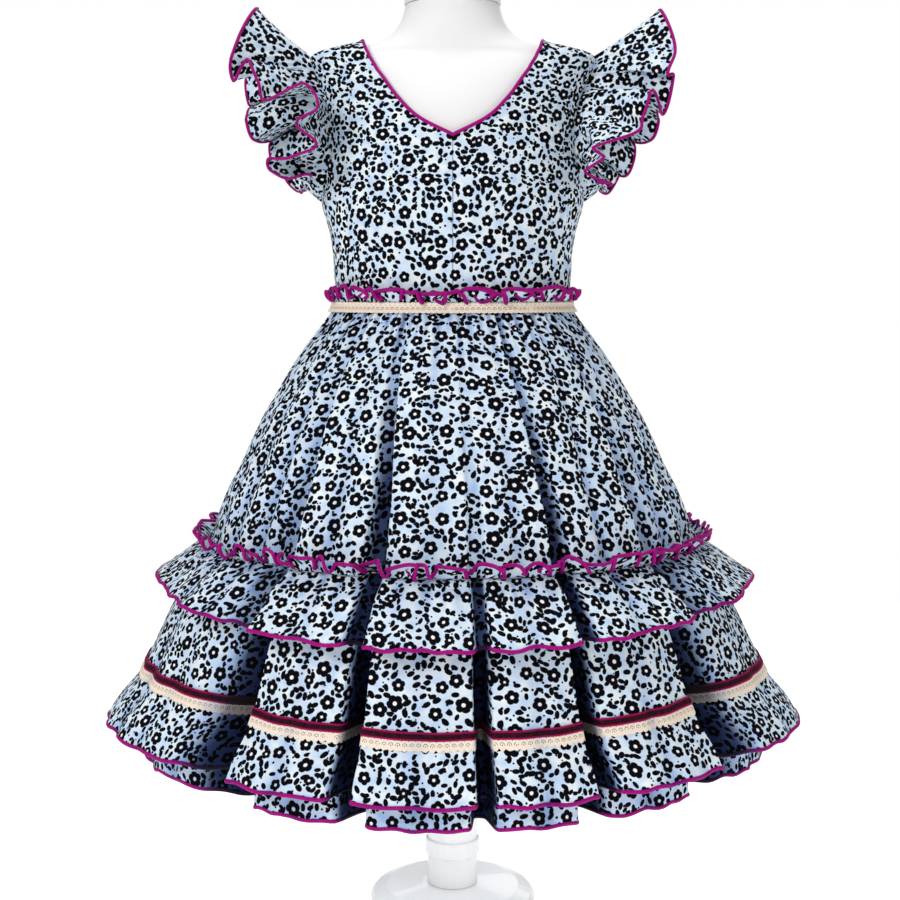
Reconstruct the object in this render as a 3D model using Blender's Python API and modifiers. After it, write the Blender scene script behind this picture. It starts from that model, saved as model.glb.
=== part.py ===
"""A small girl's flamenco dress on a table-top dress form, in metres, +Z up.

The front faces -Y and the origin is the middle of the stand's underside. Angles round the
dress are in degrees from centre front, positive towards +X. The cloth pieces are thin walls
through rings, and the rings follow the short tables below: levels down the dress, and folds.
"""

import math
from collections import namedtuple

import bmesh
import bpy
from mathutils import Vector

# Driving dimensions ---------------------------------------------------------------------

CLOTH = 0.0013                 # printed cotton with its turned edges
TRIM = 0.0010                  # lace tape, velvet ribbon and lace edging
SEAM = 0.0004                  # gap between neighbouring pieces
BINDING = 0.0030               # width of a finished bias binding

WAIST = 0.4775                 # height of the waist seam
TIER_SEAM = 0.2940             # height of the seam between the skirt and its second tier
RIBBON_TOP = 0.1985
RIBBON_WIDTH = 0.0062
LACE_WIDTH = 0.0068
TIER_HEM = 0.1600
RIBBON_FRONT_RISE = 0.0090     # how much higher the ribbon runs at centre front than at the side
TIER_FRONT_DROP = 0.0060       # and how much lower the hem hangs there
UNDER_SEAM = 0.2160            # height where the under-tier is sewn inside the second tier
UNDER_HEM = 0.1340
WAIST_TAPE = 0.0065            # width of the lace tape at the waist
WAIST_FRILL = 0.0115
HEADING = 0.0100               # height of the gathered heading above its stitch line

POLE_RADIUS = 0.0200
COLLAR_RADIUS = 0.0218
BASE_RADIUS = 0.0665
BASE_THICKNESS = 0.0130
NECK_CAP = 0.7035              # height of the line between the neck and its cap
NECK_TOP = 0.7200
FORM_FOOT = 0.3850             # height of the form's flat underside
FORM_TO_CLOTH = 0.0009         # the bodice stands this far off the form
FORM_EASE = 0.0015             # how much slimmer the form is above the underarm

BUTTON_RADIUS = 0.0050
BUTTON_THICKNESS = 0.0022
BUTTON_HEIGHTS = (0.498, 0.530, 0.562, 0.594, 0.626)
BUTTON_ANGLE = 184.0
BACK_OVERLAP = 188.0           # angle where the buttoned half ends, past centre back

# The form's skin. Above the shoulder ends each level is a step up the shoulder's ridge.
Level = namedtuple("Level", "height side front back")
FORM = (
    Level(0.3850, 0.0900, 0.0700, 0.0740),
    Level(0.4000, 0.0960, 0.0750, 0.0790),
    Level(0.4300, 0.0960, 0.0755, 0.0790),
    Level(0.4600, 0.0900, 0.0715, 0.0720),
    Level(0.4800, 0.0882, 0.0700, 0.0685),
    Level(0.5020, 0.0894, 0.0713, 0.0680),
    Level(0.5210, 0.0906, 0.0735, 0.0690),
    Level(0.5390, 0.0942, 0.0755, 0.0705),
    Level(0.5570, 0.0990, 0.0770, 0.0725),
    Level(0.5700, 0.0995, 0.0775, 0.0735),
    Level(0.5900, 0.0975, 0.0765, 0.0740),
    Level(0.6100, 0.0960, 0.0735, 0.0730),
    Level(0.6300, 0.0965, 0.0670, 0.0690),
    Level(0.6480, 0.1015, 0.0560, 0.0590),
    Level(0.6580, 0.1045, 0.0470, 0.0490),
    Level(0.6645, 0.1055, 0.0400, 0.0420),
    Level(0.6690, 0.0910, 0.0385, 0.0400),
    Level(0.6725, 0.0740, 0.0378, 0.0388),
    Level(0.6760, 0.0600, 0.0375, 0.0380),
    Level(0.6820, 0.0480, 0.0372, 0.0372),
    Level(0.6920, 0.0405, 0.0365, 0.0365),
    Level(0.7035, 0.0370, 0.0355, 0.0355),
)

# Outer faces of the skirt's layers, out to the crowns of their folds.
SKIRT = (
    Level(0.4770, 0.0915, 0.0735, 0.0735),
    Level(0.4720, 0.0945, 0.0770, 0.0770),
    Level(0.4653, 0.0992, 0.0835, 0.0835),
    Level(0.4469, 0.1133, 0.0985, 0.0985),
    Level(0.4285, 0.1260, 0.1125, 0.1125),
    Level(0.4101, 0.1370, 0.1250, 0.1250),
    Level(0.3918, 0.1480, 0.1370, 0.1370),
    Level(0.3733, 0.1572, 0.1475, 0.1475),
    Level(0.3551, 0.1655, 0.1565, 0.1565),
    Level(0.3367, 0.1755, 0.1665, 0.1665),
    Level(0.3186, 0.1828, 0.1745, 0.1745),
    Level(0.2940, 0.1905, 0.1830, 0.1830),
)
TIER = (
    Level(0.2940, 0.1905, 0.1830, 0.1830),
    Level(0.2770, 0.2030, 0.1905, 0.1905),
    Level(0.2543, 0.2173, 0.2000, 0.2000),
    Level(0.2358, 0.2276, 0.2071, 0.2071),
    Level(0.2160, 0.2375, 0.2135, 0.2135),
    Level(0.1994, 0.2465, 0.2172, 0.2172),
    Level(0.1880, 0.2535, 0.2200, 0.2200),
    Level(0.1740, 0.2660, 0.2265, 0.2265),
    Level(0.1600, 0.2750, 0.2310, 0.2310),
)
UNDER = (
    Level(0.2160, 0.2345, 0.2085, 0.2085),
    Level(0.1900, 0.2390, 0.2120, 0.2120),
    Level(0.1600, 0.2430, 0.2140, 0.2140),
    Level(0.1340, 0.2465, 0.2170, 0.2170),
)
RUFFLE = (
    Level(0.2965, 0.1937, 0.1862, 0.1862),
    Level(0.2935, 0.1985, 0.1910, 0.1910),
    Level(0.2870, 0.2090, 0.2000, 0.2000),
    Level(0.2780, 0.2215, 0.2120, 0.2120),
    Level(0.2690, 0.2345, 0.2235, 0.2235),
)
RUFFLE_FRONT_DROP = 0.0120     # how much lower the ruffle's hem is in front than at the side

# A fold is a valley that runs down the whole skirt. Its depths are at each layer's hem.
Fold = namedtuple("Fold", "angle half_width lean skirt ruffle tier")
FOLDS = (
    Fold(-175.0, 2.3, 0.0, 0.0040, 0.0060, 0.0230),
    Fold(-154.0, 2.5, 0.0, 0.0070, 0.0080, 0.0200),
    Fold(-134.0, 9.0, 2.0, 0.0030, 0.0040, 0.0200),
    Fold(-116.0, 2.8, 1.0, 0.0040, 0.0060, 0.0180),
    Fold(-95.0, 3.2, 0.0, 0.0030, 0.0050, 0.0140),
    Fold(-57.0, 13.0, 3.0, 0.0010, 0.0020, 0.0200),
    Fold(-39.5, 3.0, 1.5, 0.0050, 0.0060, 0.0170),
    Fold(-18.5, 2.4, 0.0, 0.0080, 0.0090, 0.0240),
    Fold(5.7, 2.2, 0.0, 0.0030, 0.0060, 0.0230),
    Fold(24.2, 2.4, 0.0, 0.0080, 0.0090, 0.0250),
    Fold(50.7, 3.0, -1.5, 0.0040, 0.0060, 0.0170),
    Fold(65.0, 10.0, -2.5, 0.0010, 0.0020, 0.0190),
    Fold(97.0, 3.0, -1.0, 0.0040, 0.0060, 0.0160),
    Fold(119.0, 2.6, -1.0, 0.0060, 0.0070, 0.0190),
    Fold(141.0, 2.4, 0.0, 0.0050, 0.0060, 0.0220),
    Fold(163.0, 2.6, 0.0, 0.0070, 0.0080, 0.0210),
)
SKIRT_CROWN = 0.0015           # how far the cloth rises between two folds
TIER_CROWN = 0.0060
TIER_DIAGONAL = 0.0080         # how far the tiers fall in halfway between front and side
RUFFLE_RIPPLE = 0.0040
UNDER_SPREAD = 1.35            # the under-tier's folds are wider, to pass round the tier's
HEADING_WAVES = 38
HEADING_SWING = 0.0040
WAIST_WAVES = 28
WAIST_SWING = 0.0024

# Rows of half a bodice panel, waist to shoulder: the side or armhole edge, and the middle
# or neckline edge. Angles are from centre front on the front, centre back on the back.
Row = namedtuple("Row", "edge_angle edge_height neck_width neck_height")
FRONT_ROWS = (
    Row(89.7, WAIST, 0.0, WAIST),
    Row(89.7, 0.4980, 0.0, 0.4980),
    Row(89.7, 0.5210, 0.0, 0.5220),
    Row(89.7, 0.5400, 0.0, 0.5440),
    Row(89.7, 0.5565, 0.0, 0.5640),
    Row(76.0, 0.5650, 0.0, 0.5830),
    Row(68.0, 0.5800, 0.0, 0.5990),
    Row(68.0, 0.6040, 0.0245, 0.6115),
    Row(74.0, 0.6260, 0.0397, 0.6260),
    Row(84.0, 0.6480, 0.0560, 0.6480),
    Row(86.5, 0.6560, 0.0630, 0.6600),
    Row(88.5, 0.6615, 0.0672, 0.6690),
    Row(89.7, 0.6640, 0.0695, 0.6733),
)
BACK_ROWS = (
    Row(89.7, WAIST, 0.0, WAIST),
    Row(89.7, 0.4980, 0.0, 0.5000),
    Row(89.7, 0.5210, 0.0, 0.5260),
    Row(89.7, 0.5400, 0.0, 0.5500),
    Row(89.7, 0.5565, 0.0, 0.5720),
    Row(78.0, 0.5650, 0.0, 0.5920),
    Row(72.0, 0.5800, 0.0, 0.6120),
    Row(72.0, 0.6040, 0.0, 0.6300),
    Row(73.0, 0.6090, 0.0030, 0.6303),
    Row(75.0, 0.6170, 0.0160, 0.6330),
    Row(79.0, 0.6310, 0.0280, 0.6400),
    Row(85.0, 0.6480, 0.0450, 0.6540),
    Row(87.0, 0.6560, 0.0560, 0.6630),
    Row(88.6, 0.6615, 0.0650, 0.6695),
    Row(89.7, 0.6640, 0.0695, 0.6733),
)
PANEL_COLUMNS = 7

# The edge of a sleeve frill. Each row is a turn of its wave: its place along half the
# armhole, from the shoulder (0) to the underarm (1), and how far the edge lies out and up
# from the seam there. The rest of the frill's width points forward, or back behind.
Turn = namedtuple("Turn", "along out up")
RIGHT_TURNS = (
    Turn(0.00, 0.0460, 0.0380),
    Turn(0.05, 0.0575, 0.0130),
    Turn(0.11, 0.0600, -0.0110),
    Turn(0.19, 0.0490, 0.0100),
    Turn(0.28, 0.0430, -0.0130),
    Turn(0.38, 0.0160, 0.0110),
    Turn(0.48, 0.0040, 0.0080),
    Turn(0.59, 0.0250, 0.0060),
    Turn(0.69, 0.0060, 0.0040),
    Turn(0.80, 0.0240, 0.0040),
    Turn(0.90, 0.0160, 0.0040),
    Turn(1.00, 0.0200, 0.0040),
)
LEFT_TURNS = (
    Turn(0.00, 0.0540, 0.0360),
    Turn(0.05, 0.0620, 0.0120),
    Turn(0.12, 0.0610, -0.0120),
    Turn(0.21, 0.0440, 0.0040),
    Turn(0.31, 0.0480, -0.0160),
    Turn(0.41, 0.0330, -0.0020),
    Turn(0.52, 0.0350, -0.0060),
    Turn(0.62, 0.0040, 0.0060),
    Turn(0.71, 0.0220, -0.0020),
    Turn(0.80, 0.0250, 0.0010),
    Turn(0.90, 0.0160, 0.0040),
    Turn(1.00, 0.0200, 0.0040),
)
FRILL_WIDTH_TOP = 0.0650
FRILL_WIDTH_UNDER = 0.0260

# Colours, roughness and metallic value of each material.
Finish = namedtuple("Finish", "colour roughness metallic")
FINISHES = {
    "printed_cotton": Finish((0.40, 0.50, 0.66), 0.85, 0.0),
    "magenta_binding": Finish((0.42, 0.01, 0.22), 0.65, 0.0),
    "burgundy_velvet": Finish((0.10, 0.00, 0.02), 0.90, 0.0),
    "cream_lace": Finish((0.88, 0.78, 0.62), 0.90, 0.0),
    "pearl_button": Finish((0.82, 0.86, 0.92), 0.30, 0.0),
    "white_form": Finish((0.86, 0.86, 0.86), 0.55, 0.0),
    "white_stand": Finish((0.88, 0.88, 0.88), 0.35, 0.0),
}


# Scene ----------------------------------------------------------------------------------

for old in list(bpy.data.objects):
    bpy.data.objects.remove(old, do_unlink=True)

parts = bpy.data.collections.new("flamenco_dress")
bpy.context.scene.collection.children.link(parts)


def material(name):
    found = bpy.data.materials.get(name)
    if found:
        return found
    made = bpy.data.materials.new(name)
    made.use_nodes = True
    shader = made.node_tree.nodes["Principled BSDF"]
    finish = FINISHES[name]
    shader.inputs["Base Color"].default_value = (*finish.colour, 1.0)
    shader.inputs["Roughness"].default_value = finish.roughness
    shader.inputs["Metallic"].default_value = finish.metallic
    return made


def new_object(name, shape, finish):
    mesh = bpy.data.meshes.new(name)
    shape.to_mesh(mesh)
    shape.free()
    mesh.shade_smooth()
    mesh.set_sharp_from_angle(angle=math.radians(40))
    mesh.materials.append(material(finish))
    made = bpy.data.objects.new(name, mesh)
    parts.objects.link(made)
    return made


# Lofts ----------------------------------------------------------------------------------


def loft(rows, round_columns=False, round_rows=False):
    """Triangles through rows of points, each row as long as the next."""
    shape = bmesh.new()
    corners = [[shape.verts.new(point) for point in row] for row in rows]
    row_steps = len(rows) if round_rows else len(rows) - 1
    column_steps = len(rows[0]) if round_columns else len(rows[0]) - 1
    for r in range(row_steps):
        low, high = corners[r], corners[(r + 1) % len(rows)]
        for c in range(column_steps):
            d = (c + 1) % len(low)
            shape.faces.new((low[c], low[d], high[d]))
            shape.faces.new((low[c], high[d], high[c]))
    return shape


def wall(name, rows, finish, thickness=CLOTH, round_columns=True):
    """A cloth piece: its outer face through the rows, bottom to top, with Solidify inward."""
    piece = new_object(name, loft(rows, round_columns), finish)
    solid = piece.modifiers.new("thickness", "SOLIDIFY")
    solid.thickness = thickness
    solid.offset = -1.0
    return piece


def normals(rows, round_columns=True):
    """Outward directions at a grid's points, each long enough to keep facets parallel."""
    found = []
    for r, row in enumerate(rows):
        below, above = rows[max(r - 1, 0)], rows[min(r + 1, len(rows) - 1)]
        line = []
        for c in range(len(row)):
            if round_columns:
                before, after = row[c - 1], row[(c + 1) % len(row)]
            else:
                before, after = row[max(c - 1, 0)], row[min(c + 1, len(row) - 1)]
            up = above[c] - below[c]
            out = (after - before).cross(up).normalized()
            side = (after - row[c]).cross(up)
            lean = side.normalized().dot(out) if side.length > 0 else 1.0
            line.append(out / max(lean, 0.6))
        found.append(line)
    return found


def moved_out(rows, distance, round_columns=True):
    out = normals(rows, round_columns)
    return [
        [point + way * distance for point, way in zip(row, ways)]
        for row, ways in zip(rows, out)
    ]


def binding(name, edge, inner, closed=True, width=BINDING, gap=1.5 * SEAM, lift=-CLOTH / 2):
    """A folded strip along a cloth edge, three-sided, a small gap beyond the edge.

    The edge is on the cloth's outer face, and inner is the next row of that cloth.
    """
    rows = []
    count = len(edge)
    for c in range(count):
        before = edge[c - 1] if closed or c > 0 else edge[c]
        after = edge[(c + 1) % count] if closed or c < count - 1 else edge[c]
        along = (after - before).normalized()
        away = edge[c] - inner[c]
        away = (away - along * away.dot(along)).normalized()
        out = away.cross(along).normalized()
        near = edge[c] + out * lift + away * gap
        rows.append(
            (near + out * (width / 2), near + away * (width * 0.85), near - out * (width / 2))
        )
    shape = loft(rows, round_columns=True, round_rows=closed)
    if not closed:
        shape.verts.ensure_lookup_table()
        ends = (shape.verts[:3], shape.verts[-3:])
        for end in ends:
            shape.faces.new(end)
    bmesh.ops.recalc_face_normals(shape, faces=shape.faces)
    return new_object(name, shape, "magenta_binding")


# Surfaces -------------------------------------------------------------------------------


def curve_through(values, place):
    """A smooth curve through evenly numbered values, at a place between 0 and the last."""
    last = len(values) - 1
    k = min(int(place), last - 1)
    t = place - k
    before = values[max(k - 1, 0)]
    start, end = values[k], values[k + 1]
    after = values[min(k + 2, last)]
    rise, fall = (end - before) / 2, (after - start) / 2
    return (
        start * (2 * t**3 - 3 * t**2 + 1)
        + rise * (t**3 - 2 * t**2 + t)
        + end * (3 * t**2 - 2 * t**3)
        + fall * (t**3 - t**2)
    )


def place_of(levels, height):
    """How far along the levels a height is, counted in levels."""
    heights = [level.height for level in levels]
    rising = heights[-1] > heights[0]
    for k in range(len(heights) - 1):
        low, high = sorted(heights[k : k + 2])
        if low <= height <= high:
            share = (height - heights[k]) / (heights[k + 1] - heights[k])
            return k + share
    return 0.0 if (height < heights[0]) == rising else float(len(heights) - 1)


def on_levels(levels, angle, place, inward=0.0, drop=0.0):
    """The point of a layer at an angle, some way along its levels."""
    side = curve_through([level.side for level in levels], place)
    front = curve_through([level.front for level in levels], place)
    back = curve_through([level.back for level in levels], place)
    height = curve_through([level.height for level in levels], place)
    turn = math.radians(angle)
    depth = front if math.cos(turn) > 0 else back
    shrink = 1.0 - inward / side
    return Vector(
        (
            side * shrink * math.sin(turn),
            -depth * shrink * math.cos(turn),
            height - drop * math.cos(turn) ** 2,
        )
    )


def form_point(angle, place, out=0.0):
    """A point on the form's skin, or that far outside it."""
    skin = on_levels(FORM, angle, place)
    ahead = on_levels(FORM, angle + 1.0, place)
    above = on_levels(FORM, angle, min(place + 0.05, len(FORM) - 1))
    below = on_levels(FORM, angle, place - 0.05)
    return skin + (ahead - skin).cross(above - below).normalized() * out


def tuck(u):
    """The shape of a fold's valley: 1 at its floor, and near 0 a half width away."""
    return math.exp(-((abs(u) / 0.75) ** 2.5))


def fold_columns(shares=(0.0, 0.25, 0.5, 0.75, 1.0), spread=1.0):
    """Angles that draw every fold: its floor, and shares of the way from edge to edge."""
    columns = []
    for k, fold in enumerate(FOLDS):
        nearest = FOLDS[(k + 1) % len(FOLDS)]
        following = nearest.angle + (360.0 if k == len(FOLDS) - 1 else 0.0)
        start = fold.angle + fold.half_width * spread
        end = following - nearest.half_width * spread
        columns.append(fold.angle)
        columns += [start + (end - start) * share for share in shares]
    return columns


def folded(angle, layer, strength, crown, bumps=1, spread=1.0):
    """How far the cloth lies inside its crowns at this angle, and how far it swings aside."""
    inward = 0.0
    swing = 0.0
    for k, fold in enumerate(FOLDS):
        apart = (angle - fold.angle + 180.0) % 360.0 - 180.0
        share = tuck(apart / (fold.half_width * spread))
        inward += getattr(fold, layer) * share * strength
        swing += fold.lean * share * strength
        nearest = FOLDS[(k + 1) % len(FOLDS)]
        span = (nearest.angle - fold.angle) % 360.0
        if 0.0 <= apart < span:
            rise = 0.5 - 0.5 * math.cos(2.0 * math.pi * bumps * apart / span)
            inward += crown * (1.0 - rise)
    if layer == "tier":
        inward += TIER_DIAGONAL * strength * math.sin(math.radians(2.0 * angle)) ** 2
    return inward, swing


def layer_rows(
    levels, columns, heights, layer, strength_at, crown_at, bumps=1, spread=1.0, drop_at=None
):
    """A layer's grid, bottom row first."""
    rows = []
    for height in heights:
        place = place_of(levels, height)
        strength, crown = strength_at(height), crown_at(height)
        drop = drop_at(height) if drop_at else 0.0
        row = []
        for angle in columns:
            inward, swing = folded(angle, layer, strength, crown, bumps, spread)
            row.append(on_levels(levels, angle + swing, place, inward, drop))
        rows.append(row)
    return rows


def share_between(start, end, low=0.0, high=1.0):
    """A straight rise from low at the start height to high at the end height."""
    return lambda height: low + (high - low) * min(max((start - height) / (start - end), 0), 1)


# The form and its stand -----------------------------------------------------------------


def form_torso():
    places = [0, 1, 3] + list(range(4, len(FORM)))
    steps = 4 * PANEL_COLUMNS
    angles = [360.0 * k / steps - 180.0 for k in range(steps)]
    rows = [
        [form_point(angle, place, -FORM_EASE if place > 7 else 0.0) for angle in angles]
        for place in places
    ]
    rows[-1] = [Vector((p.x, p.y, NECK_CAP - SEAM)) for p in rows[-1]]
    shape = loft(rows, round_columns=True)
    shape.verts.ensure_lookup_table()
    shape.faces.new(list(reversed(shape.verts[: len(angles)])))
    shape.faces.new(shape.verts[-len(angles) :])
    return new_object("form_torso", shape, "white_form")


def turned(name, profile, finish, steps=32):
    """A solid of revolution about Z, its profile running down the outer side."""
    shape = bmesh.new()
    corners = [shape.verts.new((x, 0.0, z)) for x, z in profile]
    for start, end in zip(corners, corners[1:]):
        shape.edges.new((start, end))
    made = new_object(name, shape, finish)
    screw = made.modifiers.new("turn", "SCREW")
    screw.axis = "Z"
    screw.steps = steps
    screw.render_steps = steps
    screw.use_merge_vertices = True
    screw.merge_threshold = 0.0001
    return made


def stand():
    edge = BASE_RADIUS
    turned(
        "stand_base",
        (
            (0.0, BASE_THICKNESS),
            (POLE_RADIUS * 1.2, BASE_THICKNESS),
            (edge * 0.80, BASE_THICKNESS * 0.80),
            (edge * 0.96, BASE_THICKNESS * 0.48),
            (edge, BASE_THICKNESS * 0.22),
            (edge, 0.0008),
            (edge - 0.0008, 0.0),
            (0.0, 0.0),
        ),
        "white_stand",
    )
    foot = BASE_THICKNESS + SEAM
    top = FORM_FOOT - SEAM
    turned(
        "stand_pole",
        ((0.0, top), (POLE_RADIUS, top), (POLE_RADIUS, foot), (0.0, foot)),
        "white_stand",
        steps=24,
    )
    inner = POLE_RADIUS + SEAM
    ring = ((inner, 0.0505), (COLLAR_RADIUS, 0.0495), (COLLAR_RADIUS, 0.0380), (inner, 0.0370))
    turned("stand_collar", ring + (ring[0],), "white_stand", steps=24)
    rim = FORM[-1].side
    turned(
        "neck_cap",
        (
            (0.0, NECK_TOP),
            (rim * 0.55, NECK_TOP - 0.0012),
            (rim * 0.85, NECK_TOP - 0.0050),
            (rim * 0.99, NECK_CAP + 0.0050),
            (rim * 0.99, NECK_CAP),
            (0.0, NECK_CAP),
        ),
        "white_form",
        steps=28,
    )


# The bodice -----------------------------------------------------------------------------

OUTER = FORM_TO_CLOTH + CLOTH  # the panels' outer face, outside the form's skin


def neck_angle(row):
    """The angle where a row's neckline point lies on the form, for its half width."""
    if row.neck_width == 0.0:
        return 0.0
    place = place_of(FORM, row.neck_height)
    half = curve_through([level.side for level in FORM], place) + OUTER
    return math.degrees(math.asin(min(row.neck_width / half, 0.9999)))


def half_panel(rows, middle=0.0):
    """Rows of (angle, place) pairs from the middle or neckline to the side or armhole."""
    grid = []
    for row in rows:
        inner = max(neck_angle(row), middle)
        if row is rows[-1]:
            inner = row.edge_angle
        low, high = place_of(FORM, row.neck_height), place_of(FORM, row.edge_height)
        line = []
        for c in range(PANEL_COLUMNS + 1):
            share = c / PANEL_COLUMNS
            angle = inner + (row.edge_angle - inner) * share
            line.append((angle, low + (high - low) * share))
        grid.append(line)
    return grid


def panel(name, halves):
    """A bodice piece between its outer and inner faces, each the form's skin moved out.

    Each half is a grid of (angle, place, lift). Halves share the corners that coincide.
    """
    stations, triangles = {}, []
    for grid in halves:
        numbers = [
            [stations.setdefault((round(a, 4), round(p, 4), lift), len(stations)) for a, p, lift in line]
            for line in grid
        ]
        for low, high in zip(numbers, numbers[1:]):
            for c in range(len(low) - 1):
                triangles.append((low[c], low[c + 1], high[c + 1]))
                triangles.append((low[c], high[c + 1], high[c]))
    shape = bmesh.new()
    outer = [shape.verts.new(form_point(a, p, OUTER + lift)) for a, p, lift in stations]
    inner = [shape.verts.new(form_point(a, p, FORM_TO_CLOTH + lift)) for a, p, lift in stations]
    edges = {(t[k - 1], t[k]) for t in triangles for k in range(3)}
    for a, b, c in triangles:
        shape.faces.new((outer[a], outer[b], outer[c]))
        shape.faces.new((inner[c], inner[b], inner[a]))
    for a, b in edges:
        if (b, a) not in edges:
            shape.faces.new((outer[b], outer[a], inner[a]))
            shape.faces.new((outer[b], inner[a], inner[b]))
    return new_object(name, shape, "printed_cotton")


def bodice_front():
    half = half_panel(FRONT_ROWS)
    right = [[(angle, place, 0.0) for angle, place in line] for line in half]
    left = [[(-angle, place, 0.0) for angle, place in reversed(line)] for line in half]
    panel("bodice_front", (left, right))


def lifted(angle):
    """How far the buttoned half stands off, where it laps over the other half."""
    share = min(max((angle - 168.0) / 9.0, 0.0), 1.0)
    smooth = share * share * (3.0 - 2.0 * share)
    return smooth * (CLOTH + 3.0 * SEAM)


def back_lines(overlap):
    """Half of the back, from the armhole edge to centre back, and past it where it laps."""
    lines = []
    for line in half_panel(BACK_ROWS):
        points = [(180.0 - angle, place) for angle, place in reversed(line)]
        angle, place = points[-1]
        at_middle = angle > 179.0
        if overlap and at_middle:
            points[-1] = (178.0, place)
            points.append((BACK_OVERLAP, place))
        elif overlap:
            before, before_place = points[-2]
            near = (before * 0.1 + angle * 0.9, before_place * 0.1 + place * 0.9)
            points.insert(-1, near)
        elif at_middle:
            points[-1] = (179.7, place)
        lines.append(points)
    return lines


def bodice_backs():
    plain = [[(angle, place, 0.0) for angle, place in line] for line in back_lines(False)]
    panel("bodice_back_left", (plain,))
    lapped = [
        [(-angle, place, lifted(angle)) for angle, place in reversed(line)]
        for line in back_lines(True)
    ]
    panel("bodice_back_right", (lapped,))


def buttons():
    lift = OUTER + lifted(BUTTON_ANGLE) + SEAM + BUTTON_THICKNESS / 2
    for number, height in enumerate(BUTTON_HEIGHTS, start=1):
        place = place_of(FORM, height)
        seat = form_point(-BUTTON_ANGLE, place, lift)
        facing = (seat - form_point(-BUTTON_ANGLE, place)).normalized()
        shape = bmesh.new()
        bmesh.ops.create_cone(
            shape,
            cap_ends=True,
            segments=16,
            radius1=BUTTON_RADIUS,
            radius2=BUTTON_RADIUS * 0.92,
            depth=BUTTON_THICKNESS,
        )
        button = new_object(f"button_{number}", shape, "pearl_button")
        button.location = seat
        button.rotation_mode = "QUATERNION"
        button.rotation_quaternion = Vector((0.0, 0.0, 1.0)).rotation_difference(facing)


def neck_edge(rows, sign, back=False):
    """The neckline of one half from the middle to the shoulder, and points beside it."""
    edge, beside = [], []
    grid = half_panel(rows)
    first = max(k for k, row in enumerate(rows) if row.neck_width == 0.0)
    for line in grid[first:]:
        (angle, place), (next_angle, next_place) = line[0], line[1]
        if back and sign > 0 and angle < BACK_OVERLAP - 179.0:
            continue
        if back:
            angle = BACK_OVERLAP if angle == 0.0 else 180.0 - angle
            next_angle = 180.0 - next_angle
        lift = lifted(angle) if back and sign < 0 else 0.0
        edge.append(form_point(sign * angle, place, OUTER + lift))
        beside.append(form_point(sign * next_angle, next_place, OUTER + lift))
    return edge, beside


def neck_binding():
    """One strip round the neckline, from centre back to centre back."""
    edge, beside = [], []
    for rows, sign, back, flip in (
        (BACK_ROWS, -1, True, False),
        (FRONT_ROWS, -1, False, True),
        (FRONT_ROWS, 1, False, False),
        (BACK_ROWS, 1, True, True),
    ):
        half_edge, half_beside = neck_edge(rows, sign, back)
        if flip:
            half_edge.reverse()
            half_beside.reverse()
        for point, near in zip(half_edge, half_beside):
            if edge and (point - edge[-1]).length < 0.004:
                edge[-1] = (edge[-1] + point) / 2
                beside[-1] = (beside[-1] + near) / 2
            else:
                edge.append(point)
                beside.append(near)
    point = edge.index(min(edge, key=lambda corner: corner.y))
    beside[point] = edge[point] - Vector((0.0, 0.0, 0.01))
    binding("neck_binding", edge, beside, closed=False, width=0.0026, gap=0.0009, lift=0.0006)


# The sleeve frills ----------------------------------------------------------------------


def armhole(sign):
    """The seam of one armhole: shoulder to underarm in front, and the same at the back."""
    front, back = [], []
    for rows, line, behind in ((FRONT_ROWS, front, False), (BACK_ROWS, back, True)):
        for row in reversed([row for row in rows if row.edge_height >= 0.5560]):
            angle = 180.0 - row.edge_angle if behind else row.edge_angle
            line.append(form_point(sign * angle, place_of(FORM, row.edge_height), OUTER))
    return front, back


def along_line(points, share):
    """The point some share of the way along a line of points."""
    lengths = [0.0]
    for start, end in zip(points, points[1:]):
        lengths.append(lengths[-1] + (end - start).length)
    target = share * lengths[-1]
    for k in range(len(points) - 1):
        if target <= lengths[k + 1] + 1e-9:
            t = (target - lengths[k]) / (lengths[k + 1] - lengths[k])
            return points[k].lerp(points[k + 1], t)
    return points[-1].copy()


def frill_column(sign, forward, seam, along, out, up):
    """Seam, middle and edge points of a frill where its edge lies out and up by so much."""
    root = along_line(seam, along) + Vector((sign * 0.0008, 0.0, 0.0008 * (1 - along)))
    width = FRILL_WIDTH_TOP + (FRILL_WIDTH_UNDER - FRILL_WIDTH_TOP) * along**1.3
    rest = math.sqrt(max(width**2 - out**2 - up**2, 0.0))
    reach = Vector((sign * out, -rest if forward else rest, up))
    middle = root + reach * 0.5 + Vector((sign * 0.004, 0.0, 0.002))
    return root, middle, root + reach


def frill_rows(sign, turns, behind_turns):
    """The frill's grid round the armhole, from the front underarm over the shoulder."""
    front, back = armhole(sign)
    columns = []
    for seam, forward, table in ((front, True, turns), (back, False, behind_turns)):
        half = []
        steps = 2 * (len(table) - 1)
        for k in range(steps + 1):
            place = k / 2
            half.append(
                frill_column(
                    sign,
                    forward,
                    seam,
                    curve_through([turn.along for turn in table], place),
                    curve_through([turn.out for turn in table], place),
                    curve_through([turn.up for turn in table], place),
                )
            )
        columns.append(half)
    whole = columns[0][:0:-1] + columns[1]
    if sign > 0:
        return [[column[r] for column in whole] for r in (2, 1, 0)]
    return [[column[r] for column in whole[::-1]] for r in (2, 1, 0)]


def sleeve_frills():
    for name, sign, turns, behind in (
        ("sleeve_frill_right", -1, RIGHT_TURNS, LEFT_TURNS),
        ("sleeve_frill_left", 1, LEFT_TURNS, RIGHT_TURNS),
    ):
        rows = frill_rows(sign, turns, behind)
        wall(name, rows, "printed_cotton", round_columns=False)
        binding(f"{name}_binding", rows[0], rows[1], closed=False, width=0.0024, gap=0.0014)


# The skirt ------------------------------------------------------------------------------


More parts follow.
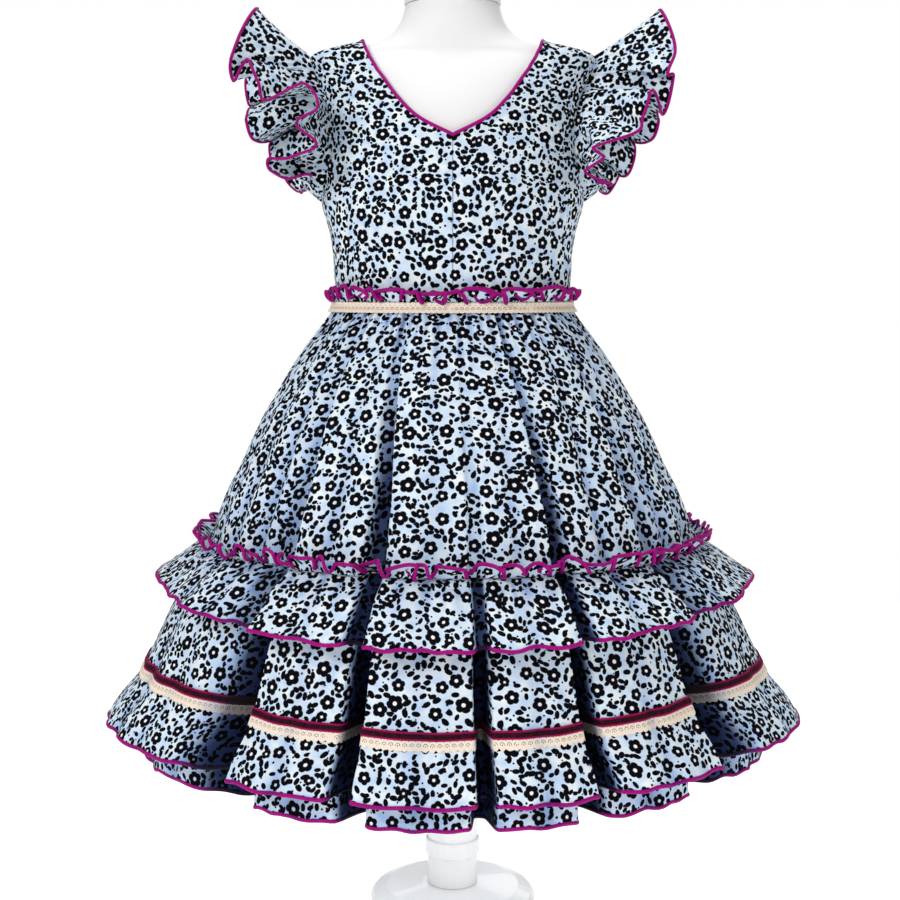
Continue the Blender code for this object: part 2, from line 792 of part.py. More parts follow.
def skirt_rows():
    heights = (TIER_SEAM + 2.0 * SEAM, 0.3450, 0.3950, 0.4470, WAIST - SEAM)
    return layer_rows(
        SKIRT,
        fold_columns((0.0, 0.5, 1.0)),
        heights,
        "skirt",
        share_between(WAIST, 0.34, 0.05, 1.0),
        share_between(WAIST, 0.34, 0.0, SKIRT_CROWN),
    )


def tier_drop(height):
    """How much lower than at the side the tier hangs at centre front, at this height."""
    if height > RIBBON_TOP:
        return share_between(TIER_SEAM, RIBBON_TOP, 0.0, -RIBBON_FRONT_RISE)(height)
    return share_between(RIBBON_TOP, TIER_HEM, -RIBBON_FRONT_RISE, TIER_FRONT_DROP)(height)


def tier_rows():
    ribbon_foot = RIBBON_TOP - RIBBON_WIDTH
    heights = (TIER_HEM, ribbon_foot - LACE_WIDTH, ribbon_foot, RIBBON_TOP, TIER_SEAM - SEAM)
    return layer_rows(
        TIER,
        fold_columns(),
        heights,
        "tier",
        share_between(TIER_SEAM, 0.21, 0.32, 1.0),
        share_between(TIER_SEAM, 0.21, SKIRT_CROWN, TIER_CROWN),
        drop_at=tier_drop,
    )


def under_rows():
    heights = (UNDER_HEM, 0.1700, UNDER_SEAM)
    return layer_rows(
        UNDER,
        fold_columns((0.0, 0.5, 1.0), UNDER_SPREAD),
        heights,
        "tier",
        share_between(TIER_SEAM, 0.21, 0.32, 1.0),
        share_between(TIER_SEAM, 0.21, SKIRT_CROWN, TIER_CROWN),
        spread=UNDER_SPREAD,
    )


def ruffle_rows():
    heights = (0.2690, 0.2860, 0.2965)
    return layer_rows(
        RUFFLE,
        fold_columns(),
        heights,
        "ruffle",
        share_between(0.2965, 0.2800, 0.80, 1.0),
        share_between(0.2965, 0.2800, SKIRT_CROWN, RUFFLE_RIPPLE),
        bumps=2,
        drop_at=share_between(0.2965, 0.2690, 0.0, RUFFLE_FRONT_DROP),
    )


def waved_band(foot_at, waves, swing, height, flare):
    """A short gathered frill: its foot on a given line, its top waving in and out."""
    low, high = [], []
    count = waves * 4
    for c in range(count):
        foot = foot_at(360.0 * c / count - 180.0)
        out = Vector((foot.x, foot.y, 0.0)).normalized()
        wave = math.cos(2.0 * math.pi * c / 4)
        low.append(foot + out * swing * 0.25 * (1.0 + wave))
        high.append(foot + out * (flare + swing * wave) + Vector((0.0, 0.0, height)))
    return [low, high]


def heading_foot(angle):
    inward, swing = folded(angle, "ruffle", 0.80, SKIRT_CROWN, bumps=2)
    return on_levels(RUFFLE, angle + swing, 0.0, inward) + Vector((0.0, 0.0, 2.0 * SEAM))


def waist_frill_foot(angle):
    foot = on_levels(SKIRT, angle, 0.0, -(CLOTH + 2.0 * SEAM))
    return Vector((foot.x, foot.y, WAIST + WAIST_TAPE * 0.25 + 2.0 * SEAM))


def skirt_and_frills():
    wall("skirt_upper", skirt_rows(), "printed_cotton")
    tier = tier_rows()
    wall("tier_2", tier, "printed_cotton")
    binding("tier_2_binding", tier[0], tier[1])
    ribbon = moved_out(tier, 1.5 * SEAM + TRIM)
    foot, head = ribbon[1], ribbon[2]
    parting = LACE_WIDTH / (LACE_WIDTH + RIBBON_WIDTH)
    middle = [low.lerp(high, parting + 0.02) for low, high in zip(foot, head)]
    wall("velvet_ribbon", [middle, head], "burgundy_velvet", thickness=TRIM)
    middle = [low.lerp(high, parting - 0.02) for low, high in zip(foot, head)]
    wall("lace_edging", [foot, middle], "cream_lace", thickness=TRIM)
    under = under_rows()
    wall("under_tier", under, "printed_cotton")
    binding("under_tier_binding", under[0], under[1])
    ruffle = ruffle_rows()
    wall("ruffle", ruffle, "printed_cotton")
    binding("ruffle_binding", ruffle[0], ruffle[1])
    heading = waved_band(heading_foot, HEADING_WAVES, HEADING_SWING, HEADING, 0.0065)
    wall("ruffle_heading", heading, "printed_cotton")


def waist_trims():
    columns = [9.0 * k - 180.0 for k in range(40)]
    foot_height = WAIST - 0.75 * WAIST_TAPE
    tape = []
    for height in (foot_height, foot_height + WAIST_TAPE):
        place = place_of(SKIRT, min(height, SKIRT[0].height))
        row = [on_levels(SKIRT, angle, place, -(5.0 * SEAM + TRIM)) for angle in columns]
        tape.append([Vector((p.x, p.y, height)) for p in row])
    wall("waist_lace", tape, "cream_lace", thickness=TRIM)
    frill = waved_band(waist_frill_foot, WAIST_WAVES, WAIST_SWING, WAIST_FRILL, 0.0026)
    wall("waist_frill", frill, "printed_cotton")


form_torso()
stand()
bodice_front()
bodice_backs()
buttons()
neck_binding()
sleeve_frills()
waist_trims()
skirt_and_frills()
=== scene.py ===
# %% [markdown]
# # A small girl's flamenco dress on a table-top dress form
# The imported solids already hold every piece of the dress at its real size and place. This
# script dresses them: it lays fine cloth over the plain walls, prints and shades it, and adds
# the lace, the velvet, the piping and the small sewing that a solid leaves out.

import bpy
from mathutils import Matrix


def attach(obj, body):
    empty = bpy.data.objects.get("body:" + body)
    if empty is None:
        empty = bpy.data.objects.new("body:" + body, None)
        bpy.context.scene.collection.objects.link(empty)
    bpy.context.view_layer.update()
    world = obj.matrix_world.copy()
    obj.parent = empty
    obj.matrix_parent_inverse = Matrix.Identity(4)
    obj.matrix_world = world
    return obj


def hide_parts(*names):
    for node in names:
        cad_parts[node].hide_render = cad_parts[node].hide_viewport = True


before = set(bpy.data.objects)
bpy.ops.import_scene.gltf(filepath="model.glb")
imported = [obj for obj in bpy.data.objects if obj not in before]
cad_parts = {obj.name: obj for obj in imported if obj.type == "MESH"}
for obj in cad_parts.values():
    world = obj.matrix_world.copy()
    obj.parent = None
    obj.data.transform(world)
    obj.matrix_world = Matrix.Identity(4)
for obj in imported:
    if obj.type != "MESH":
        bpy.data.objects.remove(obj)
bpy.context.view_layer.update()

import math
from collections import namedtuple
from contextlib import contextmanager

import bmesh
import bpy
import numpy as np
from mathutils import Matrix, Vector

BODY = "root"

# %% [markdown]
# ## Writing shader maths as sums
# A material's pattern is a small calculation at each spot of the surface. It could be wired
# by hand, node by node, but a class that stands for one output of a node lets the same sum
# be written with + and *, and each sign adds its own Math node.

# %% A wire
def sign(operation, swapped=False):
    """A method for one arithmetic sign, its two values as written or swapped."""
    return lambda wire, other: wire.math(operation, other, swapped)


class Wire:
    """One output of a node. Arithmetic on it adds Math nodes."""

    def __init__(self, finish, node, output):
        self.finish = finish
        self.node = node
        self.socket = node.outputs[output]

    def out(self, output):
        """Another output of the same node."""
        return Wire(self.finish, self.node, output)

    def math(self, operation, other=0.0, swapped=False):
        """A Math node on this wire, and on a second value where the operation takes one."""
        first, second = (other, self) if swapped else (self, other)
        return self.finish.add("ShaderNodeMath", {"operation": operation}, {0: first, 1: second})

    def wave(self, pitch):
        """A sine wave along a length in metres, with a crest every pitch."""
        return (self * (2.0 * math.pi / pitch)).math("SINE")

    def __abs__(self):
        return self.math("ABSOLUTE")

    __add__, __radd__ = sign("ADD"), sign("ADD", True)
    __sub__, __rsub__ = sign("SUBTRACT"), sign("SUBTRACT", True)
    __mul__, __rmul__ = sign("MULTIPLY"), sign("MULTIPLY", True)
    __truediv__, __rtruediv__ = sign("DIVIDE"), sign("DIVIDE", True)
    __pow__, __rpow__ = sign("POWER"), sign("POWER", True)
    __gt__, __lt__ = sign("GREATER_THAN"), sign("LESS_THAN")


print("signs for shader maths are ready on", Wire.__name__)

# %% [markdown]
# ## What every finish shares
# Each finish is one Principled shader with a pattern that feeds it, and one class holds the
# steps that they share. Cloth also gets painted shade, darker the deeper it lies in a fold,
# so that folds show in any light.

# %% A finish
FOLD_DIMMING = 0.0080  # metres into a fold where the painted shade leaves 37% of its light
FOLD_SHADES = (
    (0.00, (0.010, 0.016, 0.050, 1.0)),
    (0.25, (0.050, 0.068, 0.140, 1.0)),
    (0.70, (0.530, 0.620, 0.800, 1.0)),
    (1.00, (1.000, 1.000, 1.000, 1.0)),
)


class Finish:
    """One material: its Principled shader, and the method that adds any node to it."""

    def __init__(self, name, **constants):
        self.material = bpy.data.materials.new(name)
        self.material.use_nodes = True
        self.nodes = self.material.node_tree.nodes
        self.links = self.material.node_tree.links
        self.shader = self.nodes["Principled BSDF"]
        for socket, value in constants.items():
            self.shader.inputs[socket.replace("_", " ")].default_value = value

    def add(self, kind, settings=None, sockets=None, output=0):
        """Any node: its settings first, then a value or a wire for each of its sockets."""
        node = self.nodes.new(kind)
        for name, value in (settings or {}).items():
            if name == "stops":
                self.set_stops(node.color_ramp, value)
            else:
                setattr(node, name, value)
        for name, value in (sockets or {}).items():
            if isinstance(value, Wire):
                self.links.new(value.socket, node.inputs[name])
            else:
                node.inputs[name].default_value = value
        return Wire(self, node, output)

    def set_stops(self, ramp, stops):
        """A ramp's stops, as (place, colour) pairs. A new ramp already has two."""
        for number, (place, colour) in enumerate(stops):
            stop = ramp.elements[number] if number < 2 else ramp.elements.new(place)
            stop.position = place
            stop.color = colour

    def feed(self, socket, wire):
        """Links a wire to a socket of the shader."""
        self.links.new(wire.socket, self.shader.inputs[socket])

    def cloth_place(self):
        """Where a spot lies on the flat cloth, in metres: the UV map."""
        return self.add("ShaderNodeTexCoord", output="UV")

    def object_place(self):
        """Where a spot lies in the piece's own space, in metres."""
        return self.add("ShaderNodeTexCoord", output="Object")

    def split(self, vector):
        """The X and Y of a vector, as two wires."""
        parted = self.add("ShaderNodeSeparateXYZ", sockets={0: vector})
        return parted.out("X"), parted.out("Y")

    def vector(self, operation, first, second, output="Vector"):
        return self.add(
            "ShaderNodeVectorMath", {"operation": operation}, {0: first, 1: second}, output
        )

    def distance(self, first, second):
        """Metres between two places."""
        return self.vector("DISTANCE", first, second, "Value")

    def noise(self, where, grain, detail=2.0):
        """Soft random patches, grain metres across, from 0 to 1."""
        return self.add(
            "ShaderNodeTexNoise", sockets={"Vector": where, "Scale": 1.0 / grain, "Detail": detail}
        )

    def below(self, value, limit, blur):
        """1 where a value is under a limit and 0 where it is over, with a soft edge."""
        ends = {"From Min": -1.0, "From Max": 1.0, "To Min": 1.0, "To Max": 0.0}
        ends["Value"] = (value - limit) / blur
        return self.add("ShaderNodeMapRange", {"interpolation_type": "SMOOTHSTEP"}, ends)

    def mix(self, share, first, second, blend="MIX"):
        """From the first colour to the second as share goes from 0 to 1."""
        settings = {"data_type": "RGBA", "blend_type": blend}
        return self.add("ShaderNodeMix", settings, {"Factor": share, 6: first, 7: second}, 2)

    def painted_fold_shade(self, colour, strength=1.0):
        """A colour with painted shade: down in a fold less light comes, and it is bluer.

        Each mesh says how deep its points lie, for the painted shade.
        """
        depth = self.add("ShaderNodeAttribute", {"attribute_name": "fold_shade_depth"}, output="Fac")
        light = ((depth / FOLD_DIMMING) ** 2.0 * -1.0).math("EXPONENT")
        shaded = self.add("ShaderNodeValToRGB", {"stops": FOLD_SHADES}, {0: light})
        return self.mix(strength, colour, shaded, "MULTIPLY")

    def relief(self, height, distance, strength=1.0):
        """Turns a height from 0 to 1 into bumps, distance metres deep."""
        sockets = {"Height": height, "Distance": distance, "Strength": strength}
        self.feed("Normal", self.add("ShaderNodeBump", sockets=sockets))


print("a fold is down to 37% of its light at", FOLD_DIMMING, "m")

# %% [markdown]
# ## Printed cotton
# The cloth is a fine cotton lawn with a small all-over print: black flowers with a pale eye,
# black leaves and dots on pale blue. A picture of the print could be wrapped round the dress,
# but an image blurs in a close view. Here each motif is worked out from random points on the
# flat cloth: a Voronoi node gives the nearest point, and the rest is a distance and an angle.

# %% Motifs round random points
# How far apart a motif's points are and how loosely they are scattered, its least size and how
# much larger it may be, and how far its middle keeps from a flower's. All but scatter in metres.
Motif = namedtuple("Motif", "spacing scatter least spread gap")
FLOWERS = Motif(0.0200, 0.62, 0.0042, 0.0018, 0.0)
BUDS = Motif(0.0300, 0.70, 0.0032, 0.0008, 0.00782)
LEAVES = Motif(0.0062, 0.72, 0.00208, 0.00104, 0.0069)
DOTS = Motif(0.0060, 0.80, 0.00056, 0.00048, 0.0069)
PETALS = 5
EYE_SHARE = 0.24  # the eye's radius, and the dips between petals, by the flower's
LEAF_SLIMNESS = 8.0 / 13.0  # a leaf's width by its length
LEAVES_APART = 0.00312
SECOND_LEAVES = (0.3137, 0.2713, 0.0)  # moves the second lot of leaves off the first
SOFT_EDGE = 0.00022  # the dye bleeds this far
FULL_TURN = 6.28


def nearest_motif(finish, where, motif):
    """The place of the nearest of many random points, and two random numbers of its own."""
    found = finish.add(
        "ShaderNodeTexVoronoi", {"voronoi_dimensions": "2D"},
        {"Vector": where, "Scale": 1.0 / motif.spacing, "Randomness": motif.scatter},
    )
    chance = finish.add("ShaderNodeSeparateColor", sockets={0: found.out("Color")})
    return found.out("Position"), chance.out("Red"), chance.out("Green")


def clear_of(finish, place, motif, gap):
    """1 where a place is more than gap metres from the nearest motif of a kind, otherwise 0."""
    return finish.distance(place, nearest_motif(finish, place, motif)[0]) > gap


def largest(mask, *others):
    for other in others:
        mask = mask.math("MAXIMUM", other)
    return mask


def blossom(finish, where, place, radius, spin):
    """The petals' shape and the eye of a flower round a place."""
    across, along = finish.split(finish.vector("SUBTRACT", where, place))
    turn = along.math("ARCTAN2", across) * (PETALS / 2.0) + spin * FULL_TURN
    petals = abs(turn.math("COSINE")) ** 0.7
    reach = finish.distance(where, place)
    outline = radius * (petals * EYE_SHARE + (1.0 - EYE_SHARE))
    return finish.below(reach, outline, SOFT_EDGE), finish.below(reach, radius * EYE_SHARE, SOFT_EDGE)


def leaf(finish, where, place, length, spin):
    """An oval leaf, turned any way, round a place."""
    across, along = finish.split(finish.vector("SUBTRACT", where, place))
    turn = spin * FULL_TURN
    level, upright = turn.math("COSINE"), turn.math("SINE")
    lengthwise = abs(across * level + along * upright) / length
    sideways = abs(along * level - across * upright) / (length * LEAF_SLIMNESS)
    return finish.below(lengthwise ** 2.2 + sideways ** 2.0, 1.0, 0.12)


def scattered_leaves(finish, where, shift):
    """Leaves at random points that keep clear of the flowers, as a mask, and their places."""
    moved, spin, size = nearest_motif(finish, finish.vector("ADD", where, shift), LEAVES)
    place = finish.vector("SUBTRACT", moved, shift)
    mask = leaf(finish, where, place, size * LEAVES.spread + LEAVES.least, spin)
    return mask * clear_of(finish, place, FLOWERS, LEAVES.gap), place


def print_on(finish):
    """The print's black and its pale eyes, as two masks."""
    where = finish.cloth_place()
    place, spin, size = nearest_motif(finish, where, FLOWERS)
    flower, flower_eye = blossom(finish, where, place, size * FLOWERS.spread + FLOWERS.least, spin)

    place, spin, size = nearest_motif(finish, where, BUDS)
    bud, bud_eye = blossom(finish, where, place, size * BUDS.spread + BUDS.least, spin)
    bud_fits = clear_of(finish, place, FLOWERS, BUDS.gap)

    leaves, _ = scattered_leaves(finish, where, (0.0, 0.0, 0.0))
    more_leaves, place = scattered_leaves(finish, where, SECOND_LEAVES)
    more_leaves = more_leaves * clear_of(finish, place, LEAVES, LEAVES_APART)

    place, _, size = nearest_motif(finish, where, DOTS)
    radius = size * DOTS.spread + DOTS.least
    dots = finish.below(finish.distance(where, place), radius, SOFT_EDGE)
    dots = dots * clear_of(finish, place, FLOWERS, DOTS.gap)
    black = largest(flower, bud * bud_fits, leaves, more_leaves, dots)
    return black, largest(flower_eye, bud_eye * bud_fits)


print("flowers up to", round(FLOWERS.least + FLOWERS.spread, 4), "m in radius")

# %% [markdown]
# ## The cotton itself
# Under the black the blue is uneven, because dye takes in soft clouds. A plain blue would look
# like paper, so noise mixes two. The weave is two crossed waves, as a low relief.

# %% The cotton
PALE_BLUE = (0.51, 0.67, 0.90, 1.0)
WASHED_BLUE = (0.86, 0.92, 0.92, 1.0)
EYE_WHITE = (0.93, 0.93, 0.95, 1.0)
INK = (0.002, 0.002, 0.004, 1.0)
CLOUD_GRAIN = 0.011
THREAD_PITCH = 0.0007
WEAVE_DEPTH = 0.00025


def printed_cotton():
    finish = Finish("printed_cotton", Roughness=0.92, Specular_IOR_Level=0.06)
    where = finish.cloth_place()
    clouds = {"Value": finish.noise(where, CLOUD_GRAIN, 3.0), "From Min": 0.30, "From Max": 0.70}
    washed = finish.add("ShaderNodeMapRange", sockets=clouds)
    black, eyes = print_on(finish)
    inked = finish.mix(black, finish.mix(washed, PALE_BLUE, WASHED_BLUE), INK)
    # The print and its ground get painted shade, darker and bluer deep in folds.
    finish.feed("Base Color", finish.painted_fold_shade(finish.mix(eyes, inked, EYE_WHITE)))
    across, along = finish.split(where)
    weave = across.wave(THREAD_PITCH) * along.wave(THREAD_PITCH)
    slub = finish.noise(where, 0.004, 4.0)
    finish.relief(weave * 0.25 + slub, WEAVE_DEPTH, 0.5)
    return finish.material


cotton = printed_cotton()
print("cotton:", len(cotton.node_tree.nodes), "nodes")

# %% [markdown]
# ## Bias binding and velvet
# Bias binding is dull magenta cotton with fine ribs across it, where the thread wraps the
# edge. Velvet drinks light in its middle and shines at its woven edges. Plain reds would look
# alike, so waves make the ribs, and noise the crushed patches of pile.

# %% Binding and velvet
BINDING_DARK = (0.20, 0.0, 0.10, 1.0)
BINDING_LIGHT = (0.52, 0.002, 0.30, 1.0)
RIB_TURN = 2.0 * math.pi / 0.0011  # radians for each metre along the edge
RIB_LEAN = 900.0  # and round it
RIBBON_WIDTH = 0.0062
NAP_DARK = (0.003, 0.0, 0.001, 1.0)
NAP_LIGHT = (0.095, 0.0, 0.014, 1.0)
SELVEDGE_RED = (0.36, 0.002, 0.10, 1.0)


def binding_finish():
    finish = Finish("magenta_binding", Roughness=0.6, Specular_IOR_Level=0.14)
    where = finish.cloth_place()
    along, around = finish.split(where)
    ribs = (along * RIB_TURN + around * RIB_LEAN).math("SINE")
    shade = ribs * 0.22 + finish.noise(where, 0.0025, 3.0) * 0.8 + 0.05
    # Painted fold shade, from the hem or edge that the binding follows.
    finish.feed("Base Color", finish.painted_fold_shade(finish.mix(shade, BINDING_DARK, BINDING_LIGHT)))
    finish.relief(ribs * 0.5 + 0.5, 0.0002, 0.6)
    return finish.material


def velvet_finish():
    """The UV map's second coordinate runs across the ribbon, from 0 to its width."""
    finish = Finish(
        "burgundy_velvet", Roughness=0.8, Specular_IOR_Level=0.15, Sheen_Weight=0.10,
        Sheen_Roughness=0.35, Sheen_Tint=(0.9, 0.05, 0.20, 1.0),
    )
    where = finish.cloth_place()
    _, across = finish.split(where)
    from_middle = abs(across / RIBBON_WIDTH - 0.5) * 2.0
    selvedge = 1.0 - finish.below(from_middle, 0.62, 0.20)
    pile = finish.noise(where, 0.0030, 4.0)
    nap = finish.mix(pile * 1.8 - 0.65, NAP_DARK, NAP_LIGHT)
    # Painted fold shade, from the tier that the ribbon is sewn to.
    finish.feed("Base Color", finish.painted_fold_shade(finish.mix(selvedge, nap, SELVEDGE_RED)))
    finish.relief(pile, 0.0004, 0.5)
    return finish.material


binding_cloth = binding_finish()
velvet = velvet_finish()
print("strips:", binding_cloth.name, velvet.name)

# %% [markdown]
# ## Lace and thread
# Lace is dense cream thread with tiny slits and eyelets that let the print show through. They
# could be cut into the mesh, but that takes many thousands of faces. Here the finish works out
# an arched slit and an eyelet for each scallop, and a smaller eyelet between two.

# %% Lace and thread
LACE_WIDTH = 0.0068
WAIST_TAPE = 0.0065
EDGING_SCALLOP = 0.0046
TAPE_SCALLOP = 0.0040
SLIT = 0.00024  # half its width
EYELET = 0.00042
SMALL_EYELET = 0.00036
EYELET_HEIGHT = 0.34  # by the lace's width
SMALL_HEIGHT = 0.74
ARCH_RADIUS = 0.30  # by the scallop's length
HOLE_EDGE = 0.00012
HOLE_CLEARNESS = 0.75
CREAM_DARK = (0.80, 0.62, 0.46, 1.0)
CREAM_LIGHT = (1.0, 0.93, 0.82, 1.0)
THREAD_DARK = (0.30, 0.42, 0.62, 1.0)
THREAD_LIGHT = (0.62, 0.72, 0.86, 1.0)


def lace_finish(name, width, period):
    """Dense cream lace with holes in each scallop, period metres apart."""
    finish = Finish(name, Roughness=0.9, Specular_IOR_Level=0.1)
    where = finish.cloth_place()
    along, across = finish.split(where)

    def reach(place, height):
        """How far a spot is from the middle of its repeat, at a share of the lace's width."""
        sideways = (place.math("FRACT") - 0.5) * period
        upward = across - width * height
        return (sideways * sideways + upward * upward) ** 0.5

    low = reach(along / period, EYELET_HEIGHT)
    arch = across > width * EYELET_HEIGHT - 0.0003
    slit = finish.below(abs(low - period * ARCH_RADIUS), SLIT, HOLE_EDGE) * arch
    eyelet = finish.below(low, EYELET, HOLE_EDGE)
    small = finish.below(reach(along / period + 0.5, SMALL_HEIGHT), SMALL_EYELET, HOLE_EDGE)
    open_work = finish.noise(where, 0.006) > 0.36
    finish.feed("Alpha", 1.0 - largest(slit, eyelet, small) * open_work * HOLE_CLEARNESS)
    fibres = finish.noise(where, 0.0009, 3.0)
    # Painted fold shade from the tier, at 85% of its strength on the cream.
    finish.feed("Base Color", finish.painted_fold_shade(finish.mix(fibres, CREAM_DARK, CREAM_LIGHT), 0.85))
    finish.relief(fibres, 0.0003, 0.6)
    return finish.material


def thread_finish():
    finish = Finish("sewing_thread", Roughness=0.6, Specular_IOR_Level=0.2)
    along, around = finish.split(finish.cloth_place())
    twist = (along * 9000.0 + around * 4000.0).math("SINE") * 0.5 + 0.5
    finish.feed("Base Color", finish.mix(twist, THREAD_DARK, THREAD_LIGHT))
    return finish.material


edging_lace = lace_finish("cream_lace", LACE_WIDTH, EDGING_SCALLOP)
tape_lace = lace_finish("cream_lace_tape", WAIST_TAPE, TAPE_SCALLOP)
thread = thread_finish()
print("laces:", edging_lace.name, tape_lace.name, "and", thread.name)

# %% [markdown]
# ## Form, stand and buttons
# The dress form is covered in a smooth white jersey, and its stand is painted white. Even a
# plain white needs a little unevenness, or it looks like nothing at all. The buttons are
# pearly, with a slow change of tint across the shell. The neck cap and the stand are plain
# turned shapes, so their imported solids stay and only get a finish.

# %% White jersey, white paint, pearl
HOLE_PLACES = ((0.0012, 0.0012), (-0.0012, 0.0012), (-0.0012, -0.0012), (0.0012, -0.0012))
HOLE_RADIUS = 0.0005
# Painted shade for the inside of each button hole.
PAINTED_HOLE_SHADE = (0.02, 0.02, 0.025, 1.0)
SHELL_BLUE = (0.66, 0.76, 0.88, 1.0)
SHELL_WHITE = (0.95, 0.93, 0.92, 1.0)


def jersey_finish():
    finish = Finish("white_form", Roughness=0.6, Sheen_Weight=0.1)
    where = finish.object_place()
    cast = finish.noise(where, 0.06)
    finish.feed("Base Color", finish.mix(cast, (0.86, 0.86, 0.87, 1.0), (0.92, 0.92, 0.92, 1.0)))
    finish.relief(finish.noise(where, 0.0012, 3.0), 0.0001, 0.4)
    return finish.material


def paint_finish():
    finish = Finish("white_stand", Roughness=0.32, Coat_Weight=0.3)
    where = finish.object_place()
    cast = finish.noise(where, 0.03, 3.0)
    finish.feed("Base Color", finish.mix(cast, (0.93, 0.93, 0.93, 1.0), (0.97, 0.97, 0.97, 1.0)))
    finish.feed("Roughness", cast * 0.12 + 0.26)
    finish.relief(finish.noise(where, 0.004), 0.00012, 0.3)
    return finish.material


def pearl_finish():
    """The UV map runs across a button's face from its middle, in metres."""
    finish = Finish("pearl_button", Roughness=0.25, Coat_Weight=0.6)
    layers = finish.noise(finish.object_place(), 0.004, 4.0)
    face = finish.cloth_place()
    reaches = [finish.distance(face, (x, y, 0.0)) for x, y in HOLE_PLACES]
    # Painted shade: each hole is a near-black disc, for the shade down in it.
    holes = sum(finish.below(reach, HOLE_RADIUS, 0.00008) for reach in reaches)
    shell = finish.mix(layers, SHELL_BLUE, SHELL_WHITE)
    finish.feed("Base Color", finish.mix(holes, shell, PAINTED_HOLE_SHADE))
    finish.feed("Roughness", layers * 0.2 + 0.15)
    return finish.material


jersey = jersey_finish()
paint = paint_finish()
pearl = pearl_finish()
for node, finish in (
    ("neck_cap", jersey), ("stand_base", paint), ("stand_pole", paint), ("stand_collar", paint)
):
    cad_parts[node].data.materials.clear()
    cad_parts[node].data.materials.append(finish)
print("hard finishes:", jersey.name, paint.name, pearl.name)

# %% [markdown]
# ## Smooth surfaces from short tables
# Each layer of the dress has a small table of levels: a height, and how wide and how deep the
# layer is there. A curve through the table gives the size at any height, and an oval of that
# size gives a point at any angle. Working on whole arrays of angles at once keeps this fast,
# so that a layer can have tens of thousands of points.

# %% Levels of the form and of the skirt's layers
Level = namedtuple("Level", "height side front back")


def table(kind, *rows):
    """Rows of plain numbers, with a name for each number."""
    return tuple(kind(*row) for row in rows)


FORM = table(
    Level,
    (0.385, 0.09, 0.07, 0.074), (0.4, 0.096, 0.075, 0.079), (0.43, 0.096, 0.0755, 0.079),
    (0.46, 0.09, 0.0715, 0.072), (0.48, 0.0882, 0.07, 0.0685), (0.502, 0.0894, 0.0713, 0.068),
    (0.521, 0.0906, 0.0735, 0.069), (0.539, 0.0942, 0.0755, 0.0705), (0.557, 0.099, 0.077, 0.0725),
    (0.57, 0.0995, 0.0775, 0.0735), (0.59, 0.0975, 0.0765, 0.074), (0.61, 0.096, 0.0735, 0.073),
    (0.63, 0.0965, 0.067, 0.069), (0.648, 0.1015, 0.056, 0.059), (0.658, 0.1045, 0.047, 0.049),
    (0.6645, 0.1055, 0.04, 0.042), (0.669, 0.091, 0.0385, 0.04), (0.6725, 0.074, 0.0378, 0.0388),
    (0.676, 0.06, 0.0375, 0.038), (0.682, 0.048, 0.0372, 0.0372), (0.692, 0.0405, 0.0365, 0.0365),
    (0.7035, 0.037, 0.0355, 0.0355),
)
SKIRT = table(
    Level,
    (0.477, 0.0915, 0.0735, 0.0735), (0.472, 0.0945, 0.077, 0.077),
    (0.4653, 0.0992, 0.0835, 0.0835), (0.4469, 0.1133, 0.0985, 0.0985),
    (0.4285, 0.126, 0.1125, 0.1125), (0.4101, 0.137, 0.125, 0.125), (0.3918, 0.148, 0.137, 0.137),
    (0.3733, 0.1572, 0.1475, 0.1475), (0.3551, 0.1655, 0.1565, 0.1565),
    (0.3367, 0.1755, 0.1665, 0.1665), (0.3186, 0.1828, 0.1745, 0.1745),
    (0.294, 0.1905, 0.183, 0.183),
)
TIER = table(
    Level,
    (0.294, 0.1905, 0.183, 0.183), (0.277, 0.203, 0.1905, 0.1905), (0.2543, 0.2173, 0.2, 0.2),
    (0.2358, 0.2276, 0.2071, 0.2071), (0.216, 0.2375, 0.2135, 0.2135),
    (0.1994, 0.2465, 0.2172, 0.2172), (0.188, 0.2535, 0.22, 0.22), (0.174, 0.266, 0.2265, 0.2265),
    (0.16, 0.275, 0.231, 0.231),
)
UNDER = table(
    Level,
    (0.216, 0.2345, 0.2085, 0.2085), (0.19, 0.239, 0.212, 0.212), (0.16, 0.243, 0.214, 0.214),
    (0.134, 0.2465, 0.217, 0.217),
)
RUFFLE = table(
    Level,
    (0.2965, 0.1937, 0.1862, 0.1862), (0.2935, 0.1985, 0.191, 0.191), (0.287, 0.209, 0.2, 0.2),
    (0.278, 0.2215, 0.212, 0.212), (0.269, 0.2345, 0.2235, 0.2235),
)
print("levels of the form:", len(FORM))

# %% [markdown]
# ## Points on a layer
# A layer could be lofted through ovals and its folds pushed in afterwards. Here each oval is
# worked out with its folds in it: every angle and height says how far in the cloth lies.

# %% Curves and ovals
def through(values, place):
    """A smooth curve through evenly numbered values, at places from 0 to the last number."""
    values = np.asarray(values, float)
    last = len(values) - 1
    k = np.clip(np.floor(place).astype(int), 0, last - 1)
    t = place - k
    before, start = values[np.maximum(k - 1, 0)], values[k]
    end, after = values[k + 1], values[np.minimum(k + 2, last)]
    rise, fall = (end - before) / 2, (after - start) / 2
    return (
        start * (2 * t**3 - 3 * t**2 + 1)
        + rise * (t**3 - 2 * t**2 + t)
        + end * (3 * t**2 - 2 * t**3)
        + fall * (t**3 - t**2)
    )


def column(rows, name):
    return [getattr(row, name) for row in rows]


def place_of(levels, height):
    """How far along the levels a height is, counted in levels."""
    heights = np.array(column(levels, "height"))
    order = np.argsort(heights)
    return np.interp(height, heights[order], order)


